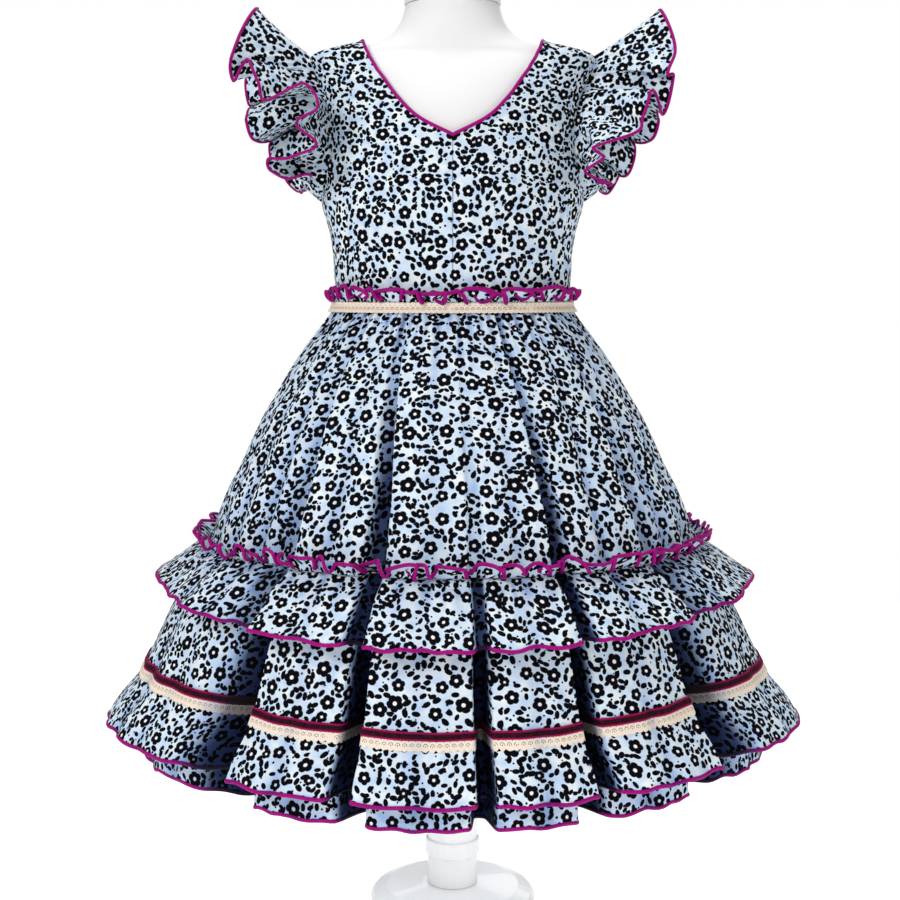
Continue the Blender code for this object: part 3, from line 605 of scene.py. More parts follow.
def on_levels(levels, angle, place, inward=0.0, drop=0.0):
    """Points of a layer at angles from centre front, some way along its levels."""
    angle, place = np.asarray(angle, float), np.asarray(place, float)
    side, front, back, height = (
        through(column(levels, name), place) for name in ("side", "front", "back", "height")
    )
    turn = np.radians(angle)
    depth = np.where(np.cos(turn) > 0, front, back)
    shrink = 1.0 - inward / side
    x = side * shrink * np.sin(turn)
    y = -depth * shrink * np.cos(turn)
    z = height - drop * np.cos(turn) ** 2
    return np.stack(np.broadcast_arrays(x, y, z), axis=-1)


def unit(vectors):
    length = np.linalg.norm(vectors, axis=-1, keepdims=True)
    return vectors / np.maximum(length, 1e-12)


def form_point(angle, place, out=0.0):
    """Points on the form's skin, or that far outside it."""
    skin = on_levels(FORM, angle, place)
    ahead = on_levels(FORM, angle + 1.0, place)
    above = on_levels(FORM, angle, np.minimum(place + 0.05, len(FORM) - 1))
    below = on_levels(FORM, angle, place - 0.05)
    return skin + unit(np.cross(ahead - skin, above - below)) * np.asarray(out)[..., None]


def blend_between(value, start, end):
    """0 before start, 1 after end, and a soft step between them. Start may be the larger."""
    share = np.clip((value - start) / (end - start), 0.0, 1.0)
    return share * share * (3.0 - 2.0 * share)


def rise_between(value, start, end, low=0.0, high=1.0):
    """A straight rise from low at start to high at end."""
    return low + (high - low) * np.clip((value - start) / (end - start), 0.0, 1.0)


WAIST = 0.4775
print("waist of the form:", form_point(0.0, place_of(FORM, WAIST)).round(4))

# %% [markdown]
# ## Laying a piece out flat
# A print only sits right on a skirt if the computer knows how the cloth was cut. Each
# column of a finished piece is laid down flat beside the last one, as far from it at the top
# and at the bottom as it is on the dress. A layer that widens downward then opens like a paper
# cone, and nothing is stretched. That place is the UV map, in metres.

# %% Flat patterns
FOLD_WAVES = 10  # what changes slower than this many times round is no fold
STEEPEST_TURN = 0.3  # radians that the flat cloth may turn from one column to the next


def arc_lengths(points, closed=False):
    """Length along the last-but-one axis of points, from 0."""
    if closed:
        points = np.concatenate([points, points[..., :1, :]], axis=-2)
    steps = np.linalg.norm(np.diff(points, axis=-2), axis=-1)
    start = np.zeros(steps.shape[:-1] + (1,))
    return np.concatenate([start, np.cumsum(steps, axis=-1)], axis=-1)


def slow_part(values):
    """Values at columns round the dress, without the quick changes that the folds make."""
    waves = np.fft.rfft(values[:, :-1], axis=1)
    waves[:, FOLD_WAVES:] = 0.0
    slow = np.fft.irfft(waves, values.shape[1] - 1, axis=1)
    return np.concatenate([slow, slow[:, :1]], axis=1)


def row_slips(grid, foot, head, below_head):
    """How far each point slips along its row, since a leaning fold crosses the columns."""
    share = below_head / below_head[:1]
    share = (share[:, :-1] + share[:, 1:]) / 2
    steps = np.diff(arc_lengths(grid)) - np.diff(head) - np.diff(foot - head) * share
    slip = np.concatenate([np.zeros((len(steps), 1)), np.cumsum(steps, axis=1)], axis=1)
    slip = slip - slip[:, -1:] * np.linspace(0.0, 1.0, slip.shape[1])
    return slip - slow_part(slip)


def flat_pattern(grid, closed=True, leaning=False):
    """Each point's place on the flat cloth, column by column."""
    foot, head = arc_lengths(grid[0], closed), arc_lengths(grid[-1], closed)
    if closed:
        grid = np.concatenate([grid, grid[:, :1]], axis=1)
    below_head = arc_lengths(np.swapaxes(grid[::-1], 0, 1)).T[::-1]
    if leaning:
        below_head = slow_part(below_head)
    length = (below_head[0, :-1] + below_head[0, 1:]) / 2
    steps = np.diff(head)
    turns = np.clip((np.diff(foot) - steps) / length, -STEEPEST_TURN, STEEPEST_TURN)
    heading = np.concatenate([[0.0], np.cumsum(turns)])
    heading = heading - heading[len(heading) // 2]
    middle = (heading[:-1] + heading[1:]) / 2
    u = np.concatenate([[0.0], np.cumsum(steps * np.cos(middle))])
    v = np.concatenate([[0.0], np.cumsum(steps * np.sin(middle))])
    flat = np.stack([u + np.sin(heading) * below_head, v - np.cos(heading) * below_head], axis=-1)
    if leaning:
        along = np.stack([np.cos(heading), np.sin(heading)], axis=-1)
        flat += row_slips(grid, foot, head, below_head)[..., None] * along
    return flat, max(foot[-1], head[-1]), below_head[0].mean()


print("folds are what changes more than", FOLD_WAVES, "times round the dress")

# %% [markdown]
# ## Sheets and strips
# Cloth is one surface of points, and a Solidify modifier gives it two sides and an edge. Piping
# is a soft tube along a line. It could be a curve with a bevel, but a mesh with its own UV map
# takes the ribs exactly.

# %% Meshes
MERGE_DISTANCE = 1e-6
COTTON = 0.0005  # its thickness


def add_object(name, data):
    made = bpy.data.objects.new(name, data)
    bpy.context.scene.collection.objects.link(made)
    return made


@contextmanager
def reshaped(mesh):
    """A mesh opened for editing. What was done to it is written back at the end."""
    shape = bmesh.new()
    shape.from_mesh(mesh)
    yield shape
    shape.to_mesh(mesh)
    shape.free()


def new_piece(name, corners, faces, finish, uv=None, depth=None):
    """A mesh piece: corners, faces, a UV for each face's corner, and a depth for each corner."""
    corners = np.asarray(corners).reshape(-1, 3)
    mesh = bpy.data.meshes.new(name)
    mesh.from_pydata(corners.tolist(), [], np.asarray(faces).tolist())
    if uv is not None:
        uv = np.asarray(uv, np.float32).ravel()
        mesh.uv_layers.new(name="flat_cloth").data.foreach_set("uv", uv)
    # The depth is kept on the mesh for the finish's painted fold shade.
    if depth is not None:
        spread = np.broadcast_to(depth, (len(corners) // depth.shape[-1], depth.shape[-1]))
        layer = mesh.attributes.new("fold_shade_depth", "FLOAT", "POINT")
        layer.data.foreach_set("value", np.ascontiguousarray(spread, np.float32).ravel())
    mesh.shade_smooth()
    mesh.materials.append(finish)
    return add_object(name, mesh)


def grid_faces(rows, columns, closed):
    """Quads of a grid, counter-clockwise seen from outside, and their UV corners."""
    row, here = np.meshgrid(np.arange(rows - 1), np.arange(columns - (not closed)), indexing="ij")

    def quads(width, after):
        low, high = row * width, (row + 1) * width
        return np.stack([low + here, low + after, high + after, high + here], -1).reshape(-1, 4)

    return quads(columns, (here + 1) % columns), quads(columns + closed, here + 1)


def thicken(piece, thickness):
    wall = piece.modifiers.new("thickness", "SOLIDIFY")
    wall.thickness = thickness
    wall.offset = -1.0
    return piece


def cloth(
    name, grid, finish, closed=True, thickness=COTTON, pattern=None, depth=None, leaning=False
):
    """A thin sheet through a grid of points, its rows from the bottom up."""
    faces, flat = grid_faces(*grid.shape[:2], closed)
    if pattern is None:
        pattern, width, length = flat_pattern(grid, closed, leaning)
        print(f"{name}: {width:.3f} m round its longer edge, {length:.3f} m deep")
    return thicken(new_piece(name, grid, faces, finish, pattern.reshape(-1, 2)[flat], depth), thickness)


def neighbours(points, axis, closed):
    """The way along points at each of them."""
    if closed:
        return np.roll(points, -1, axis) - np.roll(points, 1, axis)
    return np.gradient(points, axis=axis)


def grid_normals(grid, closed=True):
    """Outward directions at a grid's points."""
    return unit(np.cross(neighbours(grid, 1, closed), np.gradient(grid, axis=0)))


def close_ends(piece, ends):
    with reshaped(piece.data) as shape:
        shape.verts.ensure_lookup_table()
        for end in ends:
            shape.faces.new([shape.verts[int(number)] for number in end])
        bmesh.ops.recalc_face_normals(shape, faces=shape.faces)


def tube(name, path, sideways, radius, flatness, finish, closed=True, sides=8, depth=None):
    """A soft strip along a path: radius high, and flatness times that thick, sideways."""
    path = np.asarray(path)
    columns = len(path)
    along = unit(neighbours(path, 0, closed))
    out = unit(sideways - along * np.sum(sideways * along, axis=1, keepdims=True))
    turn = (2.0 * np.pi * np.arange(sides) / sides)[:, None, None]
    grid = path + (np.cos(turn) * out * flatness + np.sin(turn) * np.cross(out, along)) * radius
    faces, flat = grid_faces(sides + 1, columns, closed)
    around = np.linspace(0.0, 2.0 * np.pi * radius, sides + 1)
    uv = np.stack(np.broadcast_arrays(arc_lengths(path, closed), around[:, None]), -1)
    faces = faces % (sides * columns)
    piece = new_piece(name, grid, faces, finish, uv.reshape(-1, 2)[flat], depth)
    if not closed:
        first = np.arange(sides) * columns
        close_ends(piece, (first, first + columns - 1))
    return piece


print("cotton is", COTTON, "m thick")

# %% [markdown]
# ## Folds that run down the whole skirt
# A gathered skirt hangs in broad rounded ridges with narrow valleys between them. Each valley
# is placed one by one: its angle, its width, which way it leans, and how deep it is at the hem
# of each layer. The table holds the deep ones, and a second table adds softer ones.

# %% Valleys
Fold = namedtuple("Fold", "angle before after drift skirt ruffle tier")
FOLDS = table(
    Fold,
    (-175.0, 2.0, 2.0, 0.0, 0.0055, 0.007, 0.028), (-154.0, 2.0, 2.0, 0.0, 0.0105, 0.011, 0.03),
    (-134.0, 10.0, 2.2, 2.0, 0.004, 0.005, 0.024), (-113.0, 2.2, 2.2, -3.0, 0.0085, 0.01, 0.027),
    (-97.0, 2.4, 2.4, -3.0, 0.0055, 0.0055, 0.02), (-38.8, 9.5, 1.8, -6.0, 0.006, 0.006, 0.027),
    (-16.5, 2.4, 1.7, -6.0, 0.0115, 0.012, 0.031), (4.9, 1.6, 1.6, -3.0, 0.0045, 0.008, 0.029),
    (23.3, 1.6, 2.3, -4.0, 0.0115, 0.012, 0.032), (48.6, 1.8, 9.5, 4.0, 0.0055, 0.006, 0.027),
    (98.0, 2.4, 2.4, 3.0, 0.006, 0.005, 0.02), (115.0, 2.2, 2.2, 3.0, 0.009, 0.01, 0.027),
    (138.0, 2.0, 2.0, 0.0, 0.008, 0.009, 0.028), (161.0, 2.0, 2.0, 0.0, 0.0105, 0.011, 0.029),
)
SOFT_FOLDS = table(
    Fold,
    (-165.0, 5.0, 5.0, 0.0, 0.003, 0.002, 0.004), (-145.0, 4.0, 4.0, -1.0, 0.0035, 0.002, 0.005),
    (-124.0, 5.0, 5.0, -1.0, 0.0025, 0.002, 0.005), (-105.0, 4.0, 4.0, 0.0, 0.003, 0.002, 0.004),
    (-71.0, 4.5, 4.5, -3.0, 0.0035, 0.002, 0.003), (-60.0, 4.0, 4.0, -4.0, 0.003, 0.0025, 0.0015),
    (-49.0, 3.2, 3.2, -5.0, 0.0045, 0.0025, 0.001), (-27.5, 3.2, 3.2, -4.0, 0.003, 0.002, 0.003),
    (-5.5, 4.0, 4.0, -1.0, 0.0024, 0.0018, 0.003), (14.0, 3.0, 3.0, 2.0, 0.0026, 0.0018, 0.0025),
    (35.5, 3.2, 3.2, 4.0, 0.006, 0.003, 0.0035), (58.0, 4.0, 4.0, 4.0, 0.0035, 0.0025, 0.001),
    (70.0, 4.5, 4.5, 4.0, 0.0035, 0.002, 0.002), (106.0, 4.0, 4.0, 2.0, 0.003, 0.002, 0.005),
    (126.0, 5.0, 5.0, 0.0, 0.0035, 0.002, 0.005), (150.0, 4.5, 4.5, 0.0, 0.003, 0.002, 0.0045),
    (171.0, 4.0, 4.0, 0.0, 0.0025, 0.002, 0.004),
)
WIDE_SIDE = 4.0  # a valley's side wider than this is a long soft slope
TIER_DIAGONAL = 0.0080  # the tier lies this much further in between front and side


def tuck(away, width):
    """A steep side of a valley: 1 over its floor, and near 0 at its width from the middle."""
    return np.exp(-((np.abs(away) / (0.80 * width)) ** 5.0))


def slope(away, width):
    """A soft side of a valley, with no flat floor."""
    return np.exp(-((np.abs(away) / (0.62 * width)) ** 1.7))


def valley(away, fold, spread):
    """One valley, from 1 in its middle to 0 beyond its sides."""
    before, after = (
        (slope if width > WIDE_SIDE else tuck)(away, width * spread)
        for width in (fold.before, fold.after)
    )
    return np.where(away < 0.0, before, after)


def apart(angle, middle):
    """Degrees from middle to angle, the short way round."""
    return (angle - middle + 180.0) % 360.0 - 180.0


def drifted(fold, layer, strength):
    """On the upper skirt a valley starts this many degrees aside, and straightens downward."""
    return fold.drift * (1.0 - strength) if layer == "skirt" else 0.0


def valleys(angle, layer, strength, spread=1.0):
    """How deep in a valley, deep or soft, the cloth lies at this angle."""
    inward = np.zeros(np.broadcast(angle, strength).shape)
    for fold in FOLDS + SOFT_FOLDS:
        away = apart(angle, fold.angle + drifted(fold, layer, strength))
        shape = valley(away, fold, spread) if fold in FOLDS else slope(away, fold.before)
        inward += getattr(fold, layer) * shape * strength
    return inward


def ridges(angle, layer, strength, crown, bumps=1):
    """How far the cloth lies inside the tops of its ridges, leaving out the valleys."""
    inward = np.zeros(np.broadcast(angle, strength).shape)
    for number, fold in enumerate(FOLDS):
        away = apart(angle, fold.angle)
        span = (FOLDS[(number + 1) % len(FOLDS)].angle - fold.angle) % 360.0
        rise = 0.5 - 0.5 * np.cos(2.0 * np.pi * bumps * away / span)
        inward += np.where((away >= 0.0) & (away < span), crown * (1.0 - rise), 0.0)
    if layer == "tier":
        inward += TIER_DIAGONAL * strength * np.sin(np.radians(2.0 * angle)) ** 2
    return inward


print("deep valleys:", len(FOLDS), "and soft ones:", len(SOFT_FOLDS))

# %% [markdown]
# ## Small waves, each a little different
# Between its big folds, gathered cloth is full of small waves. A plain sine wave would look
# machined, so each crest gets its own width and height from a seeded draw, the same each run.

# %% Small waves
def uneven(angle, count, seed):
    """A wave with about count crests round the dress, no two the same, from -1 to 1."""
    draw = np.random.default_rng(seed)
    ends = np.concatenate([[0.0], np.cumsum(draw.uniform(0.55, 1.45, count))])
    turn = (np.asarray(angle) + 180.0) % 360.0 / 360.0 * ends[-1]
    crest = np.interp(turn, ends, np.arange(count + 1))
    sizes = draw.uniform(0.45, 1.0, count)
    size = np.interp(crest, np.arange(count + 1), np.append(sizes, sizes[0]))
    return size * np.cos(2.0 * np.pi * crest)


def dips(angle, depth, count, seed):
    """Uneven dips down to about this depth, and never outward."""
    return depth * (1.0 - uneven(angle, count, seed)) / 2.0


def calm_at_sides(angle, least):
    """Near 1, but only this much at the dress's two sides, where waves would show as steps."""
    return 1.0 - (1.0 - least) * np.exp(-(((np.abs(angle) - 90.0) / 17.0) ** 2))


def hem_waves(angle, near_hem, least, inward, upward):
    """Waves that grow toward a hem: inward, then up and down, each a size, count and seed."""
    size, count, seed = upward
    near_hem = near_hem * calm_at_sides(angle, least)
    return near_hem * dips(angle, *inward), near_hem * size * uneven(angle, count, seed)


print("waves at the side are calmed to", calm_at_sides(90.0, 0.3), "of their size")

# %% [markdown]
# ## The upper skirt
# It is cut as a flared shape and eased into the waist seam, so fine gathers start under the
# waist and die out a hand's width below it, and the broad folds grow from nothing there to
# full depth at the ruffle.

# %% Upper skirt
COLUMNS = 960
SEAM = 0.0004
CLOTH_WALL = 0.0013
TIER_SEAM = 0.2940
GROWN = 0.34  # the upper skirt's folds have their full depth from here down
SKIRT_CROWN = 0.0015
GATHER_DEPTH = 0.0021
BROAD_DEPTH = 0.0016
SEAM_SPREAD = 1.4  # a valley is this much wider at the skirt's foot than at the waist


def round_columns(count, reach=2.5, extra=7.0):
    """Angles round the dress, closest together on the walls of the deep valleys."""
    fine = np.linspace(-180.0, 180.0, 7201)
    weight = np.ones_like(fine)
    for fold in FOLDS:
        weight += extra * np.exp(-((apart(fine, fold.angle) / reach) ** 4))
    total = np.concatenate([[0.0], np.cumsum((weight[1:] + weight[:-1]) / 2)])
    return np.interp(np.arange(count) / count * total[-1], total, fine)


ROUND = round_columns(COLUMNS)


def broad_folds(angle, strength=1.0):
    return strength * dips(angle, BROAD_DEPTH, 30, 2)


def skirt_surface(angle, height):
    """The upper skirt's points, and how deep in a fold each one lies for its painted shade."""
    strength = rise_between(height, WAIST, GROWN, 0.05, 1.0) ** 0.7
    crown = rise_between(height, WAIST, GROWN, 0.0, SKIRT_CROWN)
    spread = rise_between(height, WAIST, TIER_SEAM, 1.0, SEAM_SPREAD)
    deep = valleys(angle, "skirt", strength, spread)
    reach = 0.060 + 0.030 * uneven(angle, 26, 41)
    fine = dips(angle, GATHER_DEPTH, 84, 1) * (1.0 - blend_between(WAIST - height, 0.003, reach))
    broad = broad_folds(angle, strength)
    inward = deep + fine + broad + ridges(angle, "skirt", strength, crown)
    grid = on_levels(SKIRT, angle, place_of(SKIRT, height), inward)
    # Painted shade weights: the valleys count for less than their depth, the gathers and broad folds
    # for more.
    return grid, 0.75 * deep + 2.8 * fine + 1.6 * broad


skirt_heights = np.linspace(TIER_SEAM + 2.0 * SEAM, WAIST - SEAM, 38)[:, None]
skirt_round = round_columns(COLUMNS, 6.0, 2.5)
skirt_grid, skirt_depth = skirt_surface(skirt_round, skirt_heights)
skirt_upper = cloth("skirt_upper_cloth", skirt_grid, cotton, depth=skirt_depth, leaning=True)

# %% [markdown]
# ## The second tier and the tier under it
# The second tier hangs from the seam under the ruffle and swings out in deep folds to its
# bound hem. The third tier shows only as a narrow edge below it. It follows the same folds,
# a little wider, because one layer hangs inside the other.

# %% Tiers
RIBBON_TOP = 0.2090
TIER_HEM = 0.1600
RIBBON_FRONT_DROP = 0.0080
TIER_FRONT_DROP = 0.0060
TIER_GROWN = 0.21  # the tier's folds have their full depth from here down
TIER_CROWN = 0.0060
HEM_CALM = 0.30
UNDER_SEAM = 0.2160
UNDER_HEM = 0.1340
UNDER_SPREAD = 1.35  # the under tier's valleys are this much wider than the tier's


def from_seam(inward, angle, below, reach):
    """A layer's own folds, led in from those of the seam that it hangs from."""
    seam = valleys(angle, "skirt", 1.0, SEAM_SPREAD) + broad_folds(angle)
    seam = seam + ridges(angle, "skirt", 1.0, SKIRT_CROWN)
    share = blend_between(below, 0.0, reach)
    return share * inward + (1.0 - share) * seam


def tier_drop(height):
    """How much lower than at the side the tier hangs at centre front, at this height."""
    upper = rise_between(height, TIER_SEAM, RIBBON_TOP, 0.0, RIBBON_FRONT_DROP)
    lower = rise_between(height, RIBBON_TOP, TIER_HEM, RIBBON_FRONT_DROP, TIER_FRONT_DROP)
    return np.where(height > RIBBON_TOP, upper, lower)


def tier_folds(angle, height, spread=1.0):
    """A tier's valleys, and the rounding of its ridges, as they grow down from the seam."""
    strength = rise_between(height, TIER_SEAM, TIER_GROWN, 0.32, 1.0)
    crown = rise_between(height, TIER_SEAM, TIER_GROWN, SKIRT_CROWN, TIER_CROWN)
    return valleys(angle, "tier", strength, spread), ridges(angle, "tier", strength, crown)


def tier_surface(angle, height):
    deep, rounding = tier_folds(angle, height)
    deep = deep + dips(angle, 0.0012, 34, 3)
    near_hem = blend_between(height, 0.19, TIER_HEM)
    waves, lift = hem_waves(angle, near_hem, HEM_CALM, (0.0020, 46, 4), (0.0009, 54, 43))
    inward = from_seam(deep + waves + rounding, angle, TIER_SEAM - height, 0.028)
    grid = on_levels(TIER, angle, place_of(TIER, height), inward, tier_drop(height))
    grid[..., 2] += lift
    # The depth for its painted fold shade: valleys and hem waves, not the ridges.
    return grid, deep + waves


def under_surface(angle, height):
    deep, rounding = tier_folds(angle, height, UNDER_SPREAD)
    near_hem = blend_between(height, 0.165, UNDER_HEM)
    waves, lift = hem_waves(angle, near_hem, HEM_CALM, (0.0025, 44, 5), (0.0012, 50, 44))
    grid = on_levels(UNDER, angle, place_of(UNDER, height), deep + waves + rounding)
    grid[..., 2] += lift
    # The depth for its painted fold shade: valleys and hem waves, not the ridges.
    return grid, deep + waves


tier_heights = np.linspace(TIER_HEM, TIER_SEAM - SEAM, 30)[:, None]
tier_grid, tier_depth = tier_surface(ROUND, tier_heights)
tier_2 = cloth("tier_2_cloth", tier_grid, cotton, depth=tier_depth, leaning=True)
under_heights = np.linspace(UNDER_HEM, UNDER_SEAM, 14)[:, None]
under_grid, under_depth = under_surface(ROUND, under_heights)
# The under tier gets painted shade all over, as if 2 mm deeper, for the shade of the tier above it.
under_shade = under_depth + 0.002
under_tier = cloth("under_tier_cloth", under_grid, cotton, depth=under_shade, leaning=True)

# %% [markdown]
# ## Bound hems
# Each hem is bound with a folded bias strip. A flattened tube along the hem's own points, sunk
# a little into the cloth, looks sewn on and never leaves it in a fold.

# %% Hem bindings
HEM_RADIUS = 0.0015
HEM_OVERHANG = 0.0004


def hem_binding(name, grid, depth):
    """A folded strip over a hem, a little lower than the cloth's own edge."""
    edge, out = grid[0], grid_normals(grid)[0]
    path = edge + unit(edge - grid[1]) * HEM_OVERHANG - out * 0.0004
    return tube(name, path, out, HEM_RADIUS, 0.72, binding_cloth, depth=depth[0])


tier_2_binding = hem_binding("tier_2_hem_binding", tier_grid, tier_depth)
under_tier_binding = hem_binding("under_tier_hem_binding", under_grid, under_depth)
print("bindings are", 2.0 * HEM_RADIUS, "m wide")

# %% [markdown]
# ## The ruffle
# One strip of cloth makes the ruffle and its heading. It is gathered on a stitch line, and the
# wide part falls as the ruffle, with fine gathers that die out toward its bound edge. It shares
# the skirt's valleys, since both are sewn to one seam.

# %% Ruffle
RUFFLE_TOP = 0.2965
RUFFLE_FOOT = 0.2690
RUFFLE_FRONT_DROP = 0.0120
RUFFLE_RIPPLE = 0.0040
RUFFLE_CALM = 0.25


def ruffle_surface(angle, height):
    strength = rise_between(height, RUFFLE_TOP, 0.28, 0.80, 1.0)
    crown = rise_between(height, RUFFLE_TOP, 0.28, SKIRT_CROWN, RUFFLE_RIPPLE)
    deep = valleys(angle, "ruffle", strength)
    falling = blend_between(height, RUFFLE_TOP, 0.286)
    gathered = 1.0 - blend_between(height, RUFFLE_TOP, 0.279 + 0.006 * uneven(angle, 40, 45))
    gathered = gathered * blend_between(height, RUFFLE_TOP, RUFFLE_TOP - 0.003)
    fine = gathered * dips(angle, GATHER_DEPTH, 92, 6)
    waves, lift = hem_waves(angle, falling, RUFFLE_CALM, (0.0014, 36, 7), (0.0010, 60, 42))
    drop = rise_between(height, RUFFLE_TOP, RUFFLE_FOOT, 0.0, RUFFLE_FRONT_DROP)
    drop = drop - 0.0045 * falling * np.exp(-(((np.abs(angle) - 62.0) / 17.0) ** 2))
    left_tip = falling * np.exp(-((apart(angle, -90.0) / 22.0) ** 2))
    inward = deep + waves + ridges(angle, "ruffle", strength, crown, 2) + 0.005 * left_tip
    inward = from_seam(inward, angle, RUFFLE_TOP - height, 0.010) + fine
    grid = on_levels(RUFFLE, angle, place_of(RUFFLE, height), inward, drop)
    grid[..., 2] += 0.004 * left_tip + lift
    # Painted shade weights: the valleys and fine gathers count for more than their depth, the hem waves
    # for less.
    return grid, 1.25 * deep + 2.6 * fine + 0.6 * waves


ruffle_heights = np.linspace(RUFFLE_FOOT, RUFFLE_TOP, 15)[:, None]
ruffle_grid, ruffle_depth = ruffle_surface(ROUND, ruffle_heights)
ruffle = cloth("ruffle_cloth", ruffle_grid, cotton, depth=ruffle_depth, leaning=True)
ruffle_binding = hem_binding("ruffle_hem_binding", ruffle_grid, ruffle_depth)

# %% [markdown]
# ## Gathered headings
# The narrow part of the strip stands up above the stitch line as a heading with an overlocked
# edge, and the waist has a smaller one. They are so full that the edge doubles back on itself
# in loops. A height for each angle can't do that, so the points also swing aside.

# %% Gathered headings
HEADING_HEIGHT = 0.0105
HEADING_WAVES = 68
WAIST_FRILL_HEIGHT = 0.0094
WAIST_WAVES = 38
HEADING_CALM = 0.45
POINTS_A_WAVE = 24
Curl = namedtuple("Curl", "aside upward depth")


def gathered_band(foot_at, waves, height, flare, curl, seed):
    """A strip on edge: its foot on a line, its top in uneven loops. Rows from the foot up.

    A curl says how far the edge swings aside, as degrees, then up and down, then in and out.
    """
    angle = np.linspace(-180.0, 180.0, waves * POINTS_A_WAVE, endpoint=False)
    draw = np.random.default_rng(seed)
    phase = 2.0 * np.pi * waves * (angle + 180.0) / 360.0
    phase = phase + sum(
        draw.uniform(-0.5, 0.5) * np.sin(np.radians(angle) * k + draw.uniform(0.0, FULL_TURN))
        for k in range(3, 21)
    )
    calm = calm_at_sides(angle, HEADING_CALM)
    size = (0.75 + 0.45 * uneven(angle, waves, seed + 1)) * calm
    curling = (0.60 + 0.60 * uneven(angle, waves // 2, seed + 2)) * calm
    second = 0.5 * uneven(angle, waves * 2, seed + 3) * calm
    up = np.linspace(0.0, 1.0, 9)[:, None]
    loop = up**1.2
    swing = np.sin(phase) + 0.35 * np.sin(2.0 * phase + 0.8)
    foot = foot_at(angle + curl.aside * loop * curling * swing)
    reach = flare * loop + curl.depth * loop * size * np.sin(phase + 0.5)
    grid = foot + unit(foot * (1.0, 1.0, 0.0)) * reach[..., None]
    lift = loop * size * np.cos(phase) + up * second - up * 0.9
    grid[..., 2] += up * height + curl.upward * lift
    # Painted shade at the band's foot, and on each loop where it turns in.
    return grid, 0.003 * (1.0 - up) + 0.002 * loop * (1.0 - np.sin(phase + 0.5))


def heading_foot(angle):
    foot = on_levels(RUFFLE, angle, 0.0, from_seam(0.0, angle, 0.0, 1.0))
    foot[..., 2] += 2.0 * SEAM
    return foot


def waist_frill_foot(angle):
    foot = on_levels(SKIRT, angle, 0.0, -(CLOTH_WALL + 2.0 * SEAM))
    foot[..., 2] = WAIST + WAIST_TAPE * 0.25 + 2.0 * SEAM
    return foot


def top_edge(name, grid, radius, depth):
    edge, out = grid[-1], grid_normals(grid)[-1]
    return tube(name, edge, out, radius, 0.85, binding_cloth, sides=6, depth=depth[-1])


heading_curl = Curl(2.3, 0.0050, 0.0046)
heading_grid, heading_depth = gathered_band(
    heading_foot, HEADING_WAVES, HEADING_HEIGHT, 0.0062, heading_curl, 11
)
heading = cloth("ruffle_heading_cloth", heading_grid, cotton, depth=heading_depth)
waist_curl = Curl(6.2, 0.0046, 0.0030)
waist_grid, waist_depth = gathered_band(
    waist_frill_foot, WAIST_WAVES, WAIST_FRILL_HEIGHT, 0.0034, waist_curl, 21
)
waist_frill = cloth("waist_frill_cloth", waist_grid, cotton, depth=waist_depth)
heading_edge = top_edge("ruffle_heading_edge", heading_grid, 0.0015, heading_depth)
waist_frill_edge = top_edge("waist_frill_edge", waist_grid, 0.0016, waist_depth)

# %% [markdown]
# ## Velvet ribbon, lace edging and waist tape
# The ribbon is sewn flat round the second tier, so it dips into every fold with the cloth. The
# lace below it is gathered a little, and its scalloped edge hangs free. Both are strips on
# the tier's own surface, moved out by about a millimetre. The tape at the waist is pulled
# straight round it, and covers the seam.

# %% Trims on the tier and the waist
TRIM = 0.0004  # the thickness of ribbon and lace
LACE_COLUMNS = 2160  # enough to draw each scallop
TAPE_COLUMNS = 1440
TAPE_FOOT = WAIST - 0.75 * WAIST_TAPE
TAPE_SWELL = 0.0007


def strip(name, grid, length, share, width, finish, depth=None):
    """A trim whose flat pattern is a straight strip."""
    across = np.broadcast_to(share * width, (len(share), len(length)))
    pattern = np.stack([np.broadcast_to(length, across.shape), across], axis=-1)
    print(f"{name}: {length[-1]:.3f} m long")
    return cloth(name, grid, finish, thickness=TRIM, pattern=pattern, depth=depth)


def petals(length, scallop, bluntness):
    """Rounded scallops along a strip, from 0 between two to 1 at the middle of each."""
    return np.abs(np.sin(np.pi * length[:-1] / scallop)) ** bluntness


def band_on_tier(name, top, foot, steps, lift, finish, scallop=0.0, columns=COLUMNS):
    """A strip that follows the tier between two heights, some way off its cloth."""
    share = np.linspace(0.0, 1.0, steps)[:, None]
    grid, depth = tier_surface(round_columns(columns), foot + (top - foot) * share)
    out = grid_normals(grid)
    down = unit(grid[:1] - grid[1:2])
    length = arc_lengths(grid[-1:], closed=True)[0]
    if scallop:
        hang = petals(length, EDGING_SCALLOP, 0.7)[:, None] * scallop
        grid = grid + down * (1.0 - share[..., None]) ** 2 * hang
    return strip(name, grid + out * lift, length, share, top - foot, finish, depth)


def waist_tape():
    angle = np.linspace(-180.0, 180.0, TAPE_COLUMNS, endpoint=False)
    share = np.linspace(0.0, 1.0, 8)[:, None]
    height = TAPE_FOOT + WAIST_TAPE * share
    place = place_of(SKIRT, np.minimum(height, SKIRT[0].height))
    grid = on_levels(SKIRT, angle, place, -2.0 * CLOTH_WALL)
    grid[..., 2] = height
    length = arc_lengths(grid[-1:], closed=True)[0]
    edge = (share**3 - (1.0 - share) ** 3) * TAPE_SWELL
    grid[..., 2] += edge * petals(length, TAPE_SCALLOP, 0.8)
    return strip("waist_lace_tape", grid, length, share, WAIST_TAPE, tape_lace)


ribbon_foot = RIBBON_TOP - RIBBON_WIDTH
velvet_ribbon = band_on_tier("velvet_ribbon_cloth", RIBBON_TOP, ribbon_foot, 7, 0.0012, velvet)
lace_foot = ribbon_foot - LACE_WIDTH * 0.78
lace_edging = band_on_tier(
    "lace_edging_cloth", ribbon_foot + 0.0006, lace_foot, 8, 0.0009, edging_lace,
    scallop=LACE_WIDTH * 0.34, columns=LACE_COLUMNS,
)
waist_lace = waist_tape()

